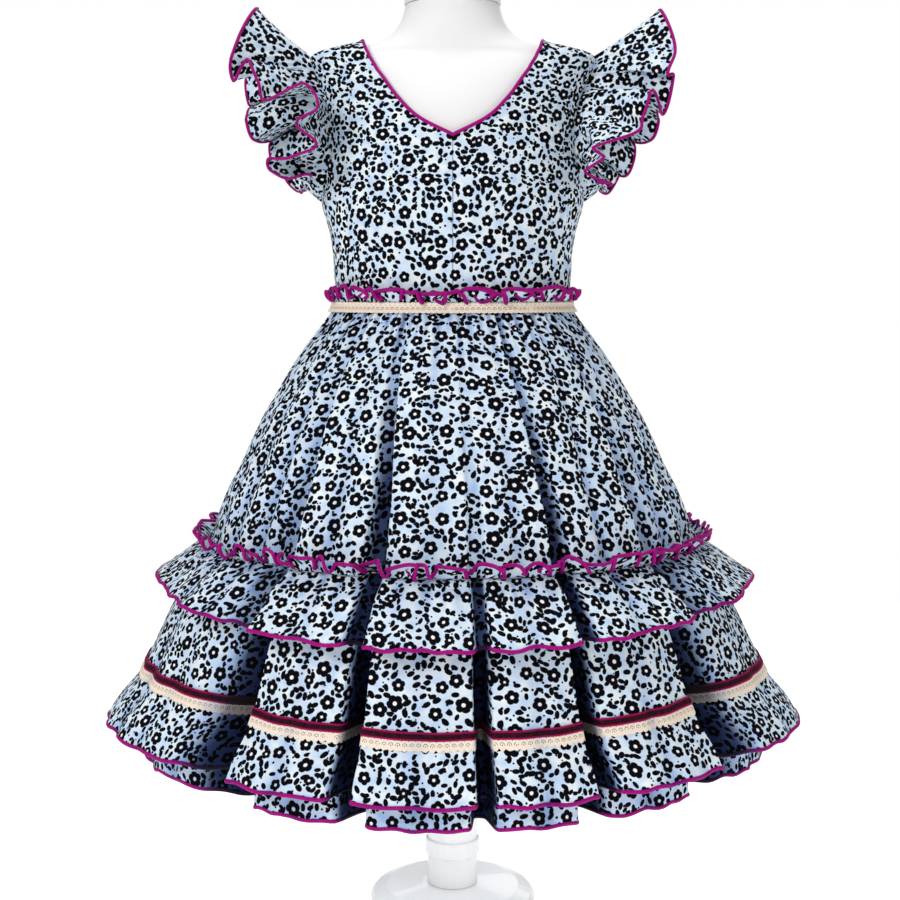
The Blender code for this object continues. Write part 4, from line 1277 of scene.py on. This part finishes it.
# %% [markdown]
# ## The bodice's cut
# The bodice is one front with a V neck, and two backs that lap at centre back. It fits the
# form closely, so its surface is the form's own skin moved out. Rows of half a panel run from
# the waist to the shoulder, and each row goes from the middle, or the neckline, out to the
# side seam, or the armhole.

# %% Bodice lines
Row = namedtuple("Row", "edge_angle edge_height neck_width neck_height")
FRONT_ROWS = table(
    Row,
    (89.7, WAIST, 0.0, WAIST), (89.7, 0.498, 0.0, 0.498), (89.7, 0.521, 0.0, 0.522),
    (89.7, 0.54, 0.0, 0.544), (89.7, 0.5565, 0.0, 0.564), (76.0, 0.565, 0.0, 0.583),
    (68.0, 0.58, 0.0, 0.599), (68.0, 0.604, 0.0245, 0.6115), (74.0, 0.626, 0.0397, 0.626),
    (84.0, 0.648, 0.056, 0.648), (86.5, 0.656, 0.063, 0.66), (88.5, 0.6615, 0.0672, 0.669),
    (89.7, 0.664, 0.0695, 0.6733),
)
BACK_ROWS = table(
    Row,
    (89.7, WAIST, 0.0, WAIST), (89.7, 0.498, 0.0, 0.5), (89.7, 0.521, 0.0, 0.526),
    (89.7, 0.54, 0.0, 0.55), (89.7, 0.5565, 0.0, 0.572), (78.0, 0.565, 0.0, 0.592),
    (72.0, 0.58, 0.0, 0.612), (72.0, 0.604, 0.0, 0.63), (73.0, 0.609, 0.003, 0.6303),
    (75.0, 0.617, 0.016, 0.633), (79.0, 0.631, 0.028, 0.64), (85.0, 0.648, 0.045, 0.654),
    (87.0, 0.656, 0.056, 0.663), (88.6, 0.6615, 0.065, 0.6695), (89.7, 0.664, 0.0695, 0.6733),
)
V_TIP = 6  # the row of the front where the V starts
BACK_TIP = 7  # and the row of the back where the neckline does
UNDERARM_ROW = 4
FRONT_TOP = len(FRONT_ROWS) - 1.0
BACK_TOP = len(BACK_ROWS) - 1.0
FORM_TO_CLOTH = 0.0009
OUTER = FORM_TO_CLOTH + CLOTH_WALL


def in_parts(values, place, corner):
    """A curve through values that turns sharply at one of them."""
    values = np.asarray(values, float)
    before = through(values[: corner + 1], np.minimum(place, corner))
    after = through(values[corner:], np.maximum(place - corner, 0.0))
    return np.where(place <= corner, before, after)


def row_lines(rows, place, tip):
    """The middle or neckline angle and place on the form, and the edge's, for each row."""
    edge_angle = in_parts(column(rows, "edge_angle"), place, UNDERARM_ROW)
    edge_height = in_parts(column(rows, "edge_height"), place, UNDERARM_ROW)
    neck_width = in_parts(column(rows, "neck_width"), place, tip)
    neck_height = in_parts(column(rows, "neck_height"), place, tip)
    neck_width = np.where(place <= tip, 0.0, np.maximum(neck_width, 0.0))
    neck_place = place_of(FORM, neck_height)
    half = through(column(FORM, "side"), neck_place) + OUTER
    inner = np.degrees(np.arcsin(np.minimum(neck_width / half, 0.9999)))
    inner = np.where(place >= len(rows) - 1.001, edge_angle, inner)
    return inner, neck_place, edge_angle, place_of(FORM, edge_height)


def creases(angle, height, seed):
    """Small pulls in a fitted bodice: up from the waist seam, and out from the armhole."""
    sideness = np.abs(np.sin(np.radians(angle)))
    from_waist = 1.0 - blend_between(height - WAIST, 0.0, 0.030)
    pulled = 0.0007 * from_waist * (uneven(angle, 40, seed) - 0.6)
    near_arm = blend_between(sideness, 0.55, 0.95) * np.exp(-(((height - 0.567) / 0.030) ** 2))
    slant = sideness * 22.0 + (height - 0.56) * 240.0
    return pulled + 0.0006 * near_arm * (np.cos(slant + seed) - 0.4)


def rise_of(grid, column):
    """How far up the cloth each point lies: by one column, and by heights along a row."""
    rise = arc_lengths(np.swapaxes(grid[:, column : column + 1], 0, 1))[0]
    return rise[:, None] + grid[..., 2] - grid[:, column : column + 1, 2]


print("rows of the front:", len(FRONT_ROWS), "and of the back:", len(BACK_ROWS))

# %% [markdown]
# ## The front
# One function works out both halves of the front. A mirror would be shorter, but the small
# creases differ from side to side. Below the V the halves meet in a fine sunken seam, darkened
# with painted shade, and their points there are merged into one cloth.

# %% Bodice front
PANEL_COLUMNS = 56
SEAM_SINK = 0.0006  # the centre-front seam lies this deep between its two halves
LINED = 0.0006  # the thickness of the bodice's cotton
front_places = np.concatenate(
    [np.linspace(0.0, V_TIP, 43), np.linspace(V_TIP, FRONT_TOP, 50)[1:]]
)


def front_half(sign):
    inner, low, outer, high = (line[:, None] for line in row_lines(FRONT_ROWS, front_places, V_TIP))
    share = np.concatenate([[0.0, 0.006, 0.014], np.linspace(0.03, 1.0, PANEL_COLUMNS - 3)])
    angle = inner + (outer - inner) * share
    place = low + (high - low) * share
    out = OUTER + creases(sign * angle, form_point(angle, place)[..., 2], 31)
    below_v = front_places[:, None] < V_TIP - 0.02
    seam = np.where(below_v & (share < 0.001), SEAM_SINK, 0.0)
    # The sunken seam gets painted shade, as deep as twelve times its sink.
    return form_point(sign * angle, place, out - seam), 12.0 * seam


def bodice_front():
    """Both halves of the front, joined where they meet below the V."""
    right, right_depth = front_half(-1)
    left, left_depth = front_half(1)
    grid = np.concatenate([right[:, ::-1], left], axis=1)
    depth = np.concatenate([right_depth[:, ::-1], left_depth], axis=1)
    centre = PANEL_COLUMNS - 1
    faces, flat = (
        quads[quads[:, 0] % grid.shape[1] != centre] for quads in grid_faces(*grid.shape[:2], False)
    )
    across = arc_lengths(grid)
    u = across - across[:, centre : centre + 2].mean(axis=1, keepdims=True)
    pattern = np.stack([u, rise_of(grid, PANEL_COLUMNS // 2)], axis=-1).reshape(-1, 2)
    piece = new_piece("bodice_front_cloth", grid, faces, cotton, pattern[flat], depth)
    with reshaped(piece.data) as shape:
        bmesh.ops.remove_doubles(shape, verts=shape.verts, dist=MERGE_DISTANCE)
    print("bodice front:", len(piece.data.polygons), "faces")
    return thicken(piece, LINED)


bodice_front_cloth = bodice_front()

# %% [markdown]
# ## The backs
# The wearer's right back laps over the left one and carries the buttons. Both are the same
# panel, but one runs on past centre back and stands off there by the thickness of the other.

# %% Backs
BACK_OVERLAP = 188.0
BACK_EDGE = 179.7
back_places = np.concatenate(
    [np.linspace(0.0, BACK_TIP, 50), np.linspace(BACK_TIP + 1.0, BACK_TOP, 44)]
)


def lifted(angle):
    """How far the buttoned half stands off, where it laps over the other half."""
    return blend_between(angle, 168.0, 177.0) * (CLOTH_WALL + 3.0 * SEAM)


def bodice_back(name, sign, middle):
    inner, low, outer, high = (line[:, None] for line in row_lines(BACK_ROWS, back_places, BACK_TIP))
    inner = np.where(back_places[:, None] <= BACK_TIP, 180.0 - middle, inner)
    share = np.linspace(0.0, 1.0, PANEL_COLUMNS)
    angle, place = 180.0 - (inner + (outer - inner) * share), low + (high - low) * share
    lift = lifted(angle) if middle == BACK_OVERLAP else 0.0
    height = form_point(angle, place)[..., 2]
    grid = form_point(sign * angle, place, OUTER + lift + creases(sign * angle, height, 33))
    from_centre = sign * grid[:, :1, 0] + arc_lengths(grid)
    pattern = np.stack([sign * (from_centre - 0.31), rise_of(grid, PANEL_COLUMNS // 2)], axis=-1)
    if sign > 0:
        grid, pattern = grid[:, ::-1], pattern[:, ::-1]
    print(f"{name}: {from_centre.max():.3f} m from centre back to the side seam")
    return cloth(name, grid, cotton, closed=False, thickness=LINED, pattern=pattern)


bodice_back_left_cloth = bodice_back("bodice_back_left_cloth", 1, BACK_EDGE)
bodice_back_right_cloth = bodice_back("bodice_back_right_cloth", -1, BACK_OVERLAP)

# %% [markdown]
# ## Piping round the neck
# A narrow strip of bias cloth is folded over the raw neckline and stitched. It is a thin tube
# that follows the edge of the four half panels from centre back to centre back.

# %% Neck piping
NECK_SINK = 0.0002
NECK_RADIUS = 0.0014
BACK_NECK = 0.6303


def neck_line(rows, places, tip, sign, back=False):
    """The neckline of one half from the middle to the shoulder."""
    inner, place, _, _ = row_lines(rows, places, tip)
    inner = 180.0 - inner if back else inner
    lift = lifted(inner) if back and sign < 0 else 0.0
    return form_point(sign * inner, place, OUTER + lift - NECK_SINK)


def neck_piping():
    front = np.linspace(V_TIP, FRONT_TOP, 60)
    back = np.linspace(BACK_TIP + 1.35, BACK_TOP, 50)
    right_back, left_back = (neck_line(BACK_ROWS, back, BACK_TIP, sign, True) for sign in (-1, 1))
    right_front, left_front = (neck_line(FRONT_ROWS, front, V_TIP, sign) for sign in (-1, 1))
    lap_angle = -np.linspace(BACK_OVERLAP, 180.5, 6)
    lap = form_point(lap_angle, place_of(FORM, BACK_NECK), OUTER + lifted(np.full(6, 180.0)))
    path = np.concatenate(
        [lap, right_back[:-1], right_front[::-1], left_front[1:], left_back[::-1][1:]]
    )
    path[:, 2] += NECK_SINK
    out = unit((path - (0.0, 0.0, 0.62)) * (1.0, 1.0, 0.35))
    print("neck piping:", round(float(arc_lengths(path)[-1]), 3), "m long")
    return tube("neck_piping", path, out, NECK_RADIUS, 0.85, binding_cloth, closed=False)


neck_binding = neck_piping()

# %% [markdown]
# ## The sleeve frills' turns
# A wide frill is gathered into each armhole, deep over the shoulder and narrow under the arm.
# Its edge stands out in big turns. The seam is the armhole itself, and the table says how
# far out and up the edge lies at each turn, so the cloth between fans out in cones.

# %% Turns of the frills
Turn = namedtuple("Turn", "along out up")
RIGHT_TURNS = table(
    Turn,
    (0.0, 0.039, 0.035), (0.03, 0.052, 0.006), (0.07, 0.057, -0.005), (0.1, 0.055, -0.012),
    (0.15, 0.0455, 0.009), (0.2, 0.04, -0.003), (0.25, 0.037, -0.012), (0.33, 0.011, 0.008),
    (0.4, 0.003, -0.001), (0.48, 0.018, -0.003), (0.57, 0.006, -0.006), (0.64, 0.022, -0.005),
    (0.7, 0.04, 0.004), (0.76, 0.037, 0.002), (0.83, 0.021, 0.005), (0.9, 0.004, 0.012),
    (1.0, 0.012, 0.015),
)
LEFT_TURNS = table(
    Turn,
    (0.0, 0.048, 0.034), (0.04, 0.0555, 0.007), (0.09, 0.052, -0.009), (0.14, 0.06, -0.003),
    (0.2, 0.055, -0.023), (0.26, 0.046, -0.003), (0.32, 0.042, -0.014), (0.38, 0.04, -0.019),
    (0.47, 0.008, -0.02), (0.55, 0.017, -0.017), (0.63, 0.001, -0.016), (0.72, 0.017, -0.011),
    (0.82, 0.015, -0.002), (0.91, 0.007, 0.008), (1.0, 0.012, 0.012),
)
BEHIND_TURNS = table(
    Turn,
    (0.0, 0.045, 0.0305), (0.04, 0.053, 0.005), (0.08, 0.045, 0.008), (0.12, 0.056, 0.001),
    (0.18, 0.057, -0.012), (0.22, 0.048, -0.005), (0.26, 0.06, -0.007), (0.34, 0.058, -0.022),
    (0.4, 0.04, -0.01), (0.46, 0.05, -0.01), (0.54, 0.044, -0.024), (0.6, 0.026, -0.008),
    (0.66, 0.038, -0.008), (0.74, 0.028, -0.011), (0.81, 0.016, 0.001), (0.87, 0.021, 0.002),
    (0.94, 0.011, 0.01), (1.0, 0.012, 0.0135),
)
print("turns of the frills in front:", len(RIGHT_TURNS), "and", len(LEFT_TURNS))

# %% [markdown]
# ## The frills themselves
# Each frill is made as two halves, in front and behind, that meet over the shoulder. The cloth
# is as wide as it was cut, so the third direction follows from the other two: what isn't out
# or up goes forward, or backward behind.

# %% Frills
FRILL_WIDTH_TOP = 0.0650
FRILL_WIDTH_UNDER = 0.0240
FRILL_STEPS = 260
FRILL_SINK = 0.0008
FRILL_EDGE = 0.0013
RIDGE_REACH = 0.05  # the halves meet in a soft ridge along this share of the seam
TUCKED = (1.0, 0.0010)  # the allowance: degrees inside the seam, and metres off the form


def armhole(sign, back, inside=0.0, out=OUTER):
    """The seam of half an armhole, from the shoulder to the underarm, or a line inside it."""
    rows, tip = (BACK_ROWS, BACK_TIP) if back else (FRONT_ROWS, V_TIP)
    place = np.linspace(len(rows) - 1.0, UNDERARM_ROW, 120)
    _, _, angle, on_form = row_lines(rows, place, tip)
    angle = angle - inside
    return form_point(sign * (180.0 - angle if back else angle), on_form, out)


def along_line(points, share):
    lengths = arc_lengths(points)
    places = [np.interp(share * lengths[-1], lengths, points[:, axis]) for axis in range(3)]
    return np.stack(places, axis=-1)


def frill_half(sign, back, turns):
    """Points of half a frill: the tucked seam allowance, then rows out from the seam."""
    place = np.linspace(0.0, len(turns) - 1.0, FRILL_STEPS)
    along, out, up = (through(column(turns, name), place) for name in Turn._fields)
    root = along_line(armhole(sign, back), along)
    root[:, 0] += sign * FRILL_SINK
    root[:, 2] += FRILL_SINK * (1.0 - along)
    width = FRILL_WIDTH_TOP + (FRILL_WIDTH_UNDER - FRILL_WIDTH_TOP) * along**2.2
    rest = np.sqrt(np.maximum(width**2 - out**2 - up**2, 0.0))
    rest = rest * np.sqrt(np.clip(along / RIDGE_REACH, 0.0, 1.0))
    reach = np.stack([sign * out, rest if back else -rest, up], axis=-1)
    t = np.linspace(0.0, 1.0, 18)[:, None, None]
    bulge = np.array([sign * 0.004, 0.0, 0.002])
    visible = root + reach * t + bulge * 4.0 * t * (1.0 - t)
    return np.concatenate([along_line(armhole(sign, back, *TUCKED), along)[None], visible])


def frill_grid(sign, turns):
    """From the front underarm over the shoulder to the back, rows from the edge inward."""
    front = frill_half(sign, False, turns)
    back = frill_half(sign, True, turns[:1] + BEHIND_TURNS[1:])
    grid = np.concatenate([front[:, :0:-1], back], axis=1)[::-1]
    grid = grid if sign > 0 else grid[:, ::-1]
    step = np.arange(grid.shape[1])
    share = np.linspace(1.0, 0.0, grid.shape[0])[:, None]
    pleats = np.sin(step * 2.0 * np.pi / 9.0 + 1.5 * np.sin(step / 21.0)) * 0.0009
    waves = np.sin(step * 2.0 * np.pi / 31.0 + 2.0 * np.sin(step / 37.0)) * 0.0010
    ends = np.clip(np.minimum(step, step[::-1]) / 25.0, 0.0, 1.0)
    near_seam = share * (1.0 - share) ** 2 * 4.0
    move = (pleats * near_seam + waves * share**2) * ends
    return grid + grid_normals(grid, closed=False) * move[..., None]


def sleeve_frill(name, sign, turns):
    grid = frill_grid(sign, turns)
    out = grid_normals(grid, closed=False)[0]
    path = grid[0] + unit(grid[0] - grid[1]) * HEM_OVERHANG - out * 0.0002
    piece = cloth(f"{name}_cloth", grid, cotton, closed=False)
    edge = tube(f"{name}_edge", path, out, FRILL_EDGE, 0.8, binding_cloth, closed=False)
    return piece, edge


frill_right, frill_right_edge = sleeve_frill("sleeve_frill_right", -1, RIGHT_TURNS)
frill_left, frill_left_edge = sleeve_frill("sleeve_frill_left", 1, LEFT_TURNS)

# %% [markdown]
# ## The form
# The form's jersey is drawn smooth over a padded core, so one fine surface is enough. A lathe
# makes round things and a body isn't round, so it goes through the same levels as the bodice.
# From the bust up it is a little smaller than they say, to stay inside the cloth.

# %% Form
FORM_EASE = 0.0015
NECK_CAP = 0.7035
SHOULDER = 15.0  # the level of the form from which the rows are closer


def form_shell():
    places = np.concatenate(
        [np.linspace(0.0, SHOULDER, 76), np.linspace(SHOULDER, len(FORM) - 1.0, 37)[1:]]
    )
    angle = np.linspace(-180.0, 180.0, 144, endpoint=False)
    ease = -FORM_EASE * blend_between(places, 5.0, 8.0)[:, None]
    grid = form_point(angle, places[:, None], ease + np.zeros_like(angle))
    grid[-1, :, 2] = NECK_CAP - SEAM
    rows, columns = grid.shape[:2]
    piece = new_piece("form_jersey", grid, grid_faces(rows, columns, True)[0], jersey)
    foot = np.arange(columns)
    close_ends(piece, (foot, foot + (rows - 1) * columns))
    print("form:", rows, "rows of", columns, "points")
    return piece


form_jersey = form_shell()

# %% [markdown]
# ## Pearl buttons
# A shirt button is a turned disc with a raised rim and four holes, sewn on with crossed
# thread. Spinning a profile gives the disc. Thread fills the holes, so they aren't cut, and the
# finish paints each as a near-black disc of painted shade. Each stitch is a short tube that
# arches from hole to hole.

# %% Pearl buttons
BUTTON_RADIUS = 0.0050
BUTTON_THICKNESS = 0.0022
BUTTON_HEIGHTS = (0.498, 0.530, 0.562, 0.594, 0.626)
BUTTON_ANGLE = 184.0
THREAD_RADIUS = 0.00028
THREAD_SINK = 0.0003
UP = (0.0, 0.0, 1.0)
# The button's half section, from the middle of its back round to the middle of its face: each
# corner by the radius and by half the thickness.
PROFILE = (
    (0.0, -1.0), (0.90, -1.0), (1.0, -0.4), (1.0, 0.3), (0.93, 0.95),
    (0.84, 1.0), (0.72, 0.75), (0.60, 0.35), (0.30, 0.22), (0.0, 0.20),
)


def turned_disc(name, profile, finish, steps=40):
    """A solid of revolution about Z through a profile of (radius, height) points."""
    mesh = bpy.data.meshes.new(name)
    with reshaped(mesh) as shape:
        corners = [shape.verts.new((x, 0.0, z)) for x, z in profile]
        for start, end in zip(corners, corners[1:]):
            shape.edges.new((start, end))
        bmesh.ops.spin(
            shape, geom=shape.verts[:] + shape.edges[:], axis=UP, cent=(0.0, 0.0, 0.0),
            steps=steps, angle=2.0 * math.pi, use_merge=True,
        )
        bmesh.ops.remove_doubles(shape, verts=shape.verts, dist=MERGE_DISTANCE)
        bmesh.ops.recalc_face_normals(shape, faces=shape.faces)
    face = mesh.uv_layers.new(name="face")
    for loop in mesh.loops:
        face.data[loop.index].uv = mesh.vertices[loop.vertex_index].co.xy
    mesh.shade_smooth()
    mesh.materials.append(finish)
    return add_object(name, mesh)


def stitches(name, seat):
    """Two crossed stitches of thread from hole to hole, rising a little over the button."""
    share = np.linspace(0.0, 1.0, 9)[:, None]
    threads = []
    for number, lift in ((0, 0.0003), (1, 0.0007)):
        start, end = np.array(HOLE_PLACES[number]), np.array(HOLE_PLACES[number + 2])
        rise = seat - THREAD_SINK + (lift + THREAD_SINK) * np.sin(np.pi * share)
        path = np.column_stack([start + (end - start) * share, rise])
        made = tube(f"{name}_{number}", path, np.array(UP), THREAD_RADIUS, 1.0, thread, False, 6)
        threads.append(made)
    return threads


def pearl_button(number, height):
    half = BUTTON_THICKNESS / 2
    profile = [(across * BUTTON_RADIUS, up * half) for across, up in PROFILE]
    piece = turned_disc(f"pearl_button_{number}", profile, pearl)
    place = place_of(FORM, height)
    seat = form_point(-BUTTON_ANGLE, place, OUTER + lifted(BUTTON_ANGLE) + SEAM + half)
    facing = Vector(seat - form_point(-BUTTON_ANGLE, place)).normalized()
    turn = Vector(UP).rotation_difference(facing).to_matrix().to_4x4()
    threads = stitches(f"button_thread_{number}", half * 0.25)
    for part in (piece, *threads):
        part.data.transform(Matrix.Translation(Vector(seat)) @ turn)
    return piece, threads


pearl_buttons = [pearl_button(k, height) for k, height in enumerate(BUTTON_HEIGHTS, start=1)]
print("buttons:", len(pearl_buttons))

# %% [markdown]
# ## What each piece stands for
# Every piece rides on the object's one body and hides the plain solid that it replaces. Small
# sewing without a solid replaces nothing.

# %% Pieces on the body
def dress_piece(piece, slot, *nodes):
    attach(piece, BODY)
    if nodes:
        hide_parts(*nodes)


SLOTS = {
    "printed_cotton": (
        (skirt_upper, "skirt_upper"), (tier_2, "tier_2"), (under_tier, "under_tier"),
        (ruffle, "ruffle"), (heading, "ruffle_heading"), (waist_frill, "waist_frill"),
        (bodice_front_cloth, "bodice_front"), (bodice_back_left_cloth, "bodice_back_left"),
        (bodice_back_right_cloth, "bodice_back_right"), (frill_right, "sleeve_frill_right"),
        (frill_left, "sleeve_frill_left"),
    ),
    "magenta_binding": (
        (tier_2_binding, "tier_2_binding"), (under_tier_binding, "under_tier_binding"),
        (ruffle_binding, "ruffle_binding"), (frill_right_edge, "sleeve_frill_right_binding"),
        (frill_left_edge, "sleeve_frill_left_binding"), (neck_binding, "neck_binding"),
        (heading_edge,), (waist_frill_edge,),
    ),
    "burgundy_velvet": ((velvet_ribbon, "velvet_ribbon"),),
    "cream_lace": ((lace_edging, "lace_edging"), (waist_lace, "waist_lace")),
    "white_form": ((form_jersey, "form_torso"),),
}
for slot, pieces in SLOTS.items():
    for piece, *nodes in pieces:
        dress_piece(piece, slot, *nodes)
    print(slot, "pieces:", len(pieces))
for number, (piece, threads) in enumerate(pearl_buttons, start=1):
    dress_piece(piece, "pearl_button", f"button_{number}")
    for part in threads:
        dress_piece(part, "printed_cotton")

# %% [markdown]
# ## How each cloth was cut
# A table gives each cloth's flat size in metres, its flat area where that isn't the two sides
# multiplied, how it is held, what it lies on and what is sewn to it. Only its name and flat
# size are printed.

# %% Sheets
TIER_TRIMS = (velvet_ribbon, lace_edging, tier_2_binding)
for piece, flat, area, held, rests_on, sewn_on in (
    (skirt_upper, (1.28, 0.212), 0.198, "gathered", [waist_lace], [waist_lace]),
    (tier_2, (2.06, 0.149), 0.255, "gathered", [skirt_upper], TIER_TRIMS),
    (under_tier, (1.93, 0.083), None, "gathered", [tier_2], [under_tier_binding]),
    (ruffle, (1.60, 0.051), None, "gathered", [skirt_upper], [ruffle_binding]),
    (heading, (2.65, 0.011), 0.018, "gathered", [skirt_upper], [heading_edge]),
    (waist_frill, (1.39, 0.0125), 0.008, "gathered", [bodice_front_cloth], [waist_frill_edge]),
    (frill_right, (0.81, 0.065), 0.027, "gathered", [bodice_front_cloth], [frill_right_edge]),
    (frill_left, (0.76, 0.065), 0.026, "gathered", [bodice_front_cloth], [frill_left_edge]),
    (bodice_front_cloth, (0.32, 0.20), 0.044, "stretched", [form_jersey], [neck_binding]),
    (bodice_back_left_cloth, (0.17, 0.20), 0.024, "stretched", [form_jersey], []),
    (bodice_back_right_cloth, (0.19, 0.20), 0.026, "stretched", [form_jersey], []),
):
    print(piece.name, "flat:", flat)

# %% [markdown]
# ## Light
# A dress shows its folds best in soft light that comes more from one side. Round area lamps
# make soft shadows, and a pale world fills them. The camera sees that world as full white, but
# the dress gets less of its light.

# %% Light
WORLD_LIGHT = 0.28


def soft_light(name, place, size, watts, aim=(0.0, 0.0, 0.36)):
    lamp = bpy.data.lights.new(name, "AREA")
    lamp.shape = "DISK"
    lamp.size = size
    lamp.energy = watts
    made = add_object(name, lamp)
    made.location = place
    made.rotation_euler = (Vector(aim) - Vector(place)).to_track_quat("-Z", "Y").to_euler()
    made.visible_camera = False


soft_light("key", (-1.4, -1.6, 1.6), 0.9, 24.5)
soft_light("fill", (1.8, -1.0, 0.7), 1.2, 6.8)
soft_light("low", (0.0, -1.6, 0.30), 0.7, 2.6, aim=(0.0, 0.0, 0.03))
soft_light("under_skirt", (0.0, 0.0, 0.20), 0.3, 0.34, aim=(0.0, 0.0, 0.0))
soft_light("top", (0.0, 0.0, 2.2), 1.2, 14.0)
soft_light("back", (0.4, 1.9, 1.4), 1.6, 14.0)

world = bpy.data.worlds.new("pale_room")
bpy.context.scene.world = world
world.use_nodes = True
room = world.node_tree.nodes["Background"]
room.inputs["Color"].default_value = (1.0, 1.0, 1.0, 1.0)
path = world.node_tree.nodes.new("ShaderNodeLightPath")
seen = world.node_tree.nodes.new("ShaderNodeMapRange")
seen.inputs["To Min"].default_value = WORLD_LIGHT
seen.inputs["To Max"].default_value = 1.0
world.node_tree.links.new(path.outputs["Is Camera Ray"], seen.inputs["Value"])
world.node_tree.links.new(seen.outputs["Result"], room.inputs["Strength"])
print("lamps:", len(bpy.data.lights))

# %% [markdown]
# ## Floor and camera
# The stand needs a floor, and a plain pale disk doesn't draw the eye. The camera stands about
# level with the waist and looks slightly down, as one looks at a figure on a table.

# %% Floor and camera
bpy.ops.mesh.primitive_circle_add(
    vertices=96, radius=1.3, fill_type="NGON", location=(0.0, 0.0, -SEAM)
)
floor = bpy.context.object
floor.name = "pale_floor"
ground = Finish(
    "floor_paper", Roughness=0.9, Emission_Color=(1.0, 1.0, 1.0, 1.0), Emission_Strength=0.5
)
patches = ground.noise(ground.object_place(), 0.3)
ground.feed("Base Color", ground.mix(patches, (0.92, 0.92, 0.92, 1.0), (0.95, 0.95, 0.95, 1.0)))
floor.data.materials.append(ground.material)

camera = add_object("camera", bpy.data.cameras.new("camera"))
camera.location = (-0.0020, -1.17, 0.4927)
camera.rotation_euler = (math.radians(83.7), 0.0, 0.0)
camera.data.lens = 60.0
camera.data.sensor_width = 36.0
camera.data.clip_start = 0.05
bpy.context.scene.camera = camera
bpy.context.scene.view_settings.view_transform = "Standard"
print("camera:", camera.data.lens, "mm, looking", round(90.0 - 83.7, 1), "degrees down")
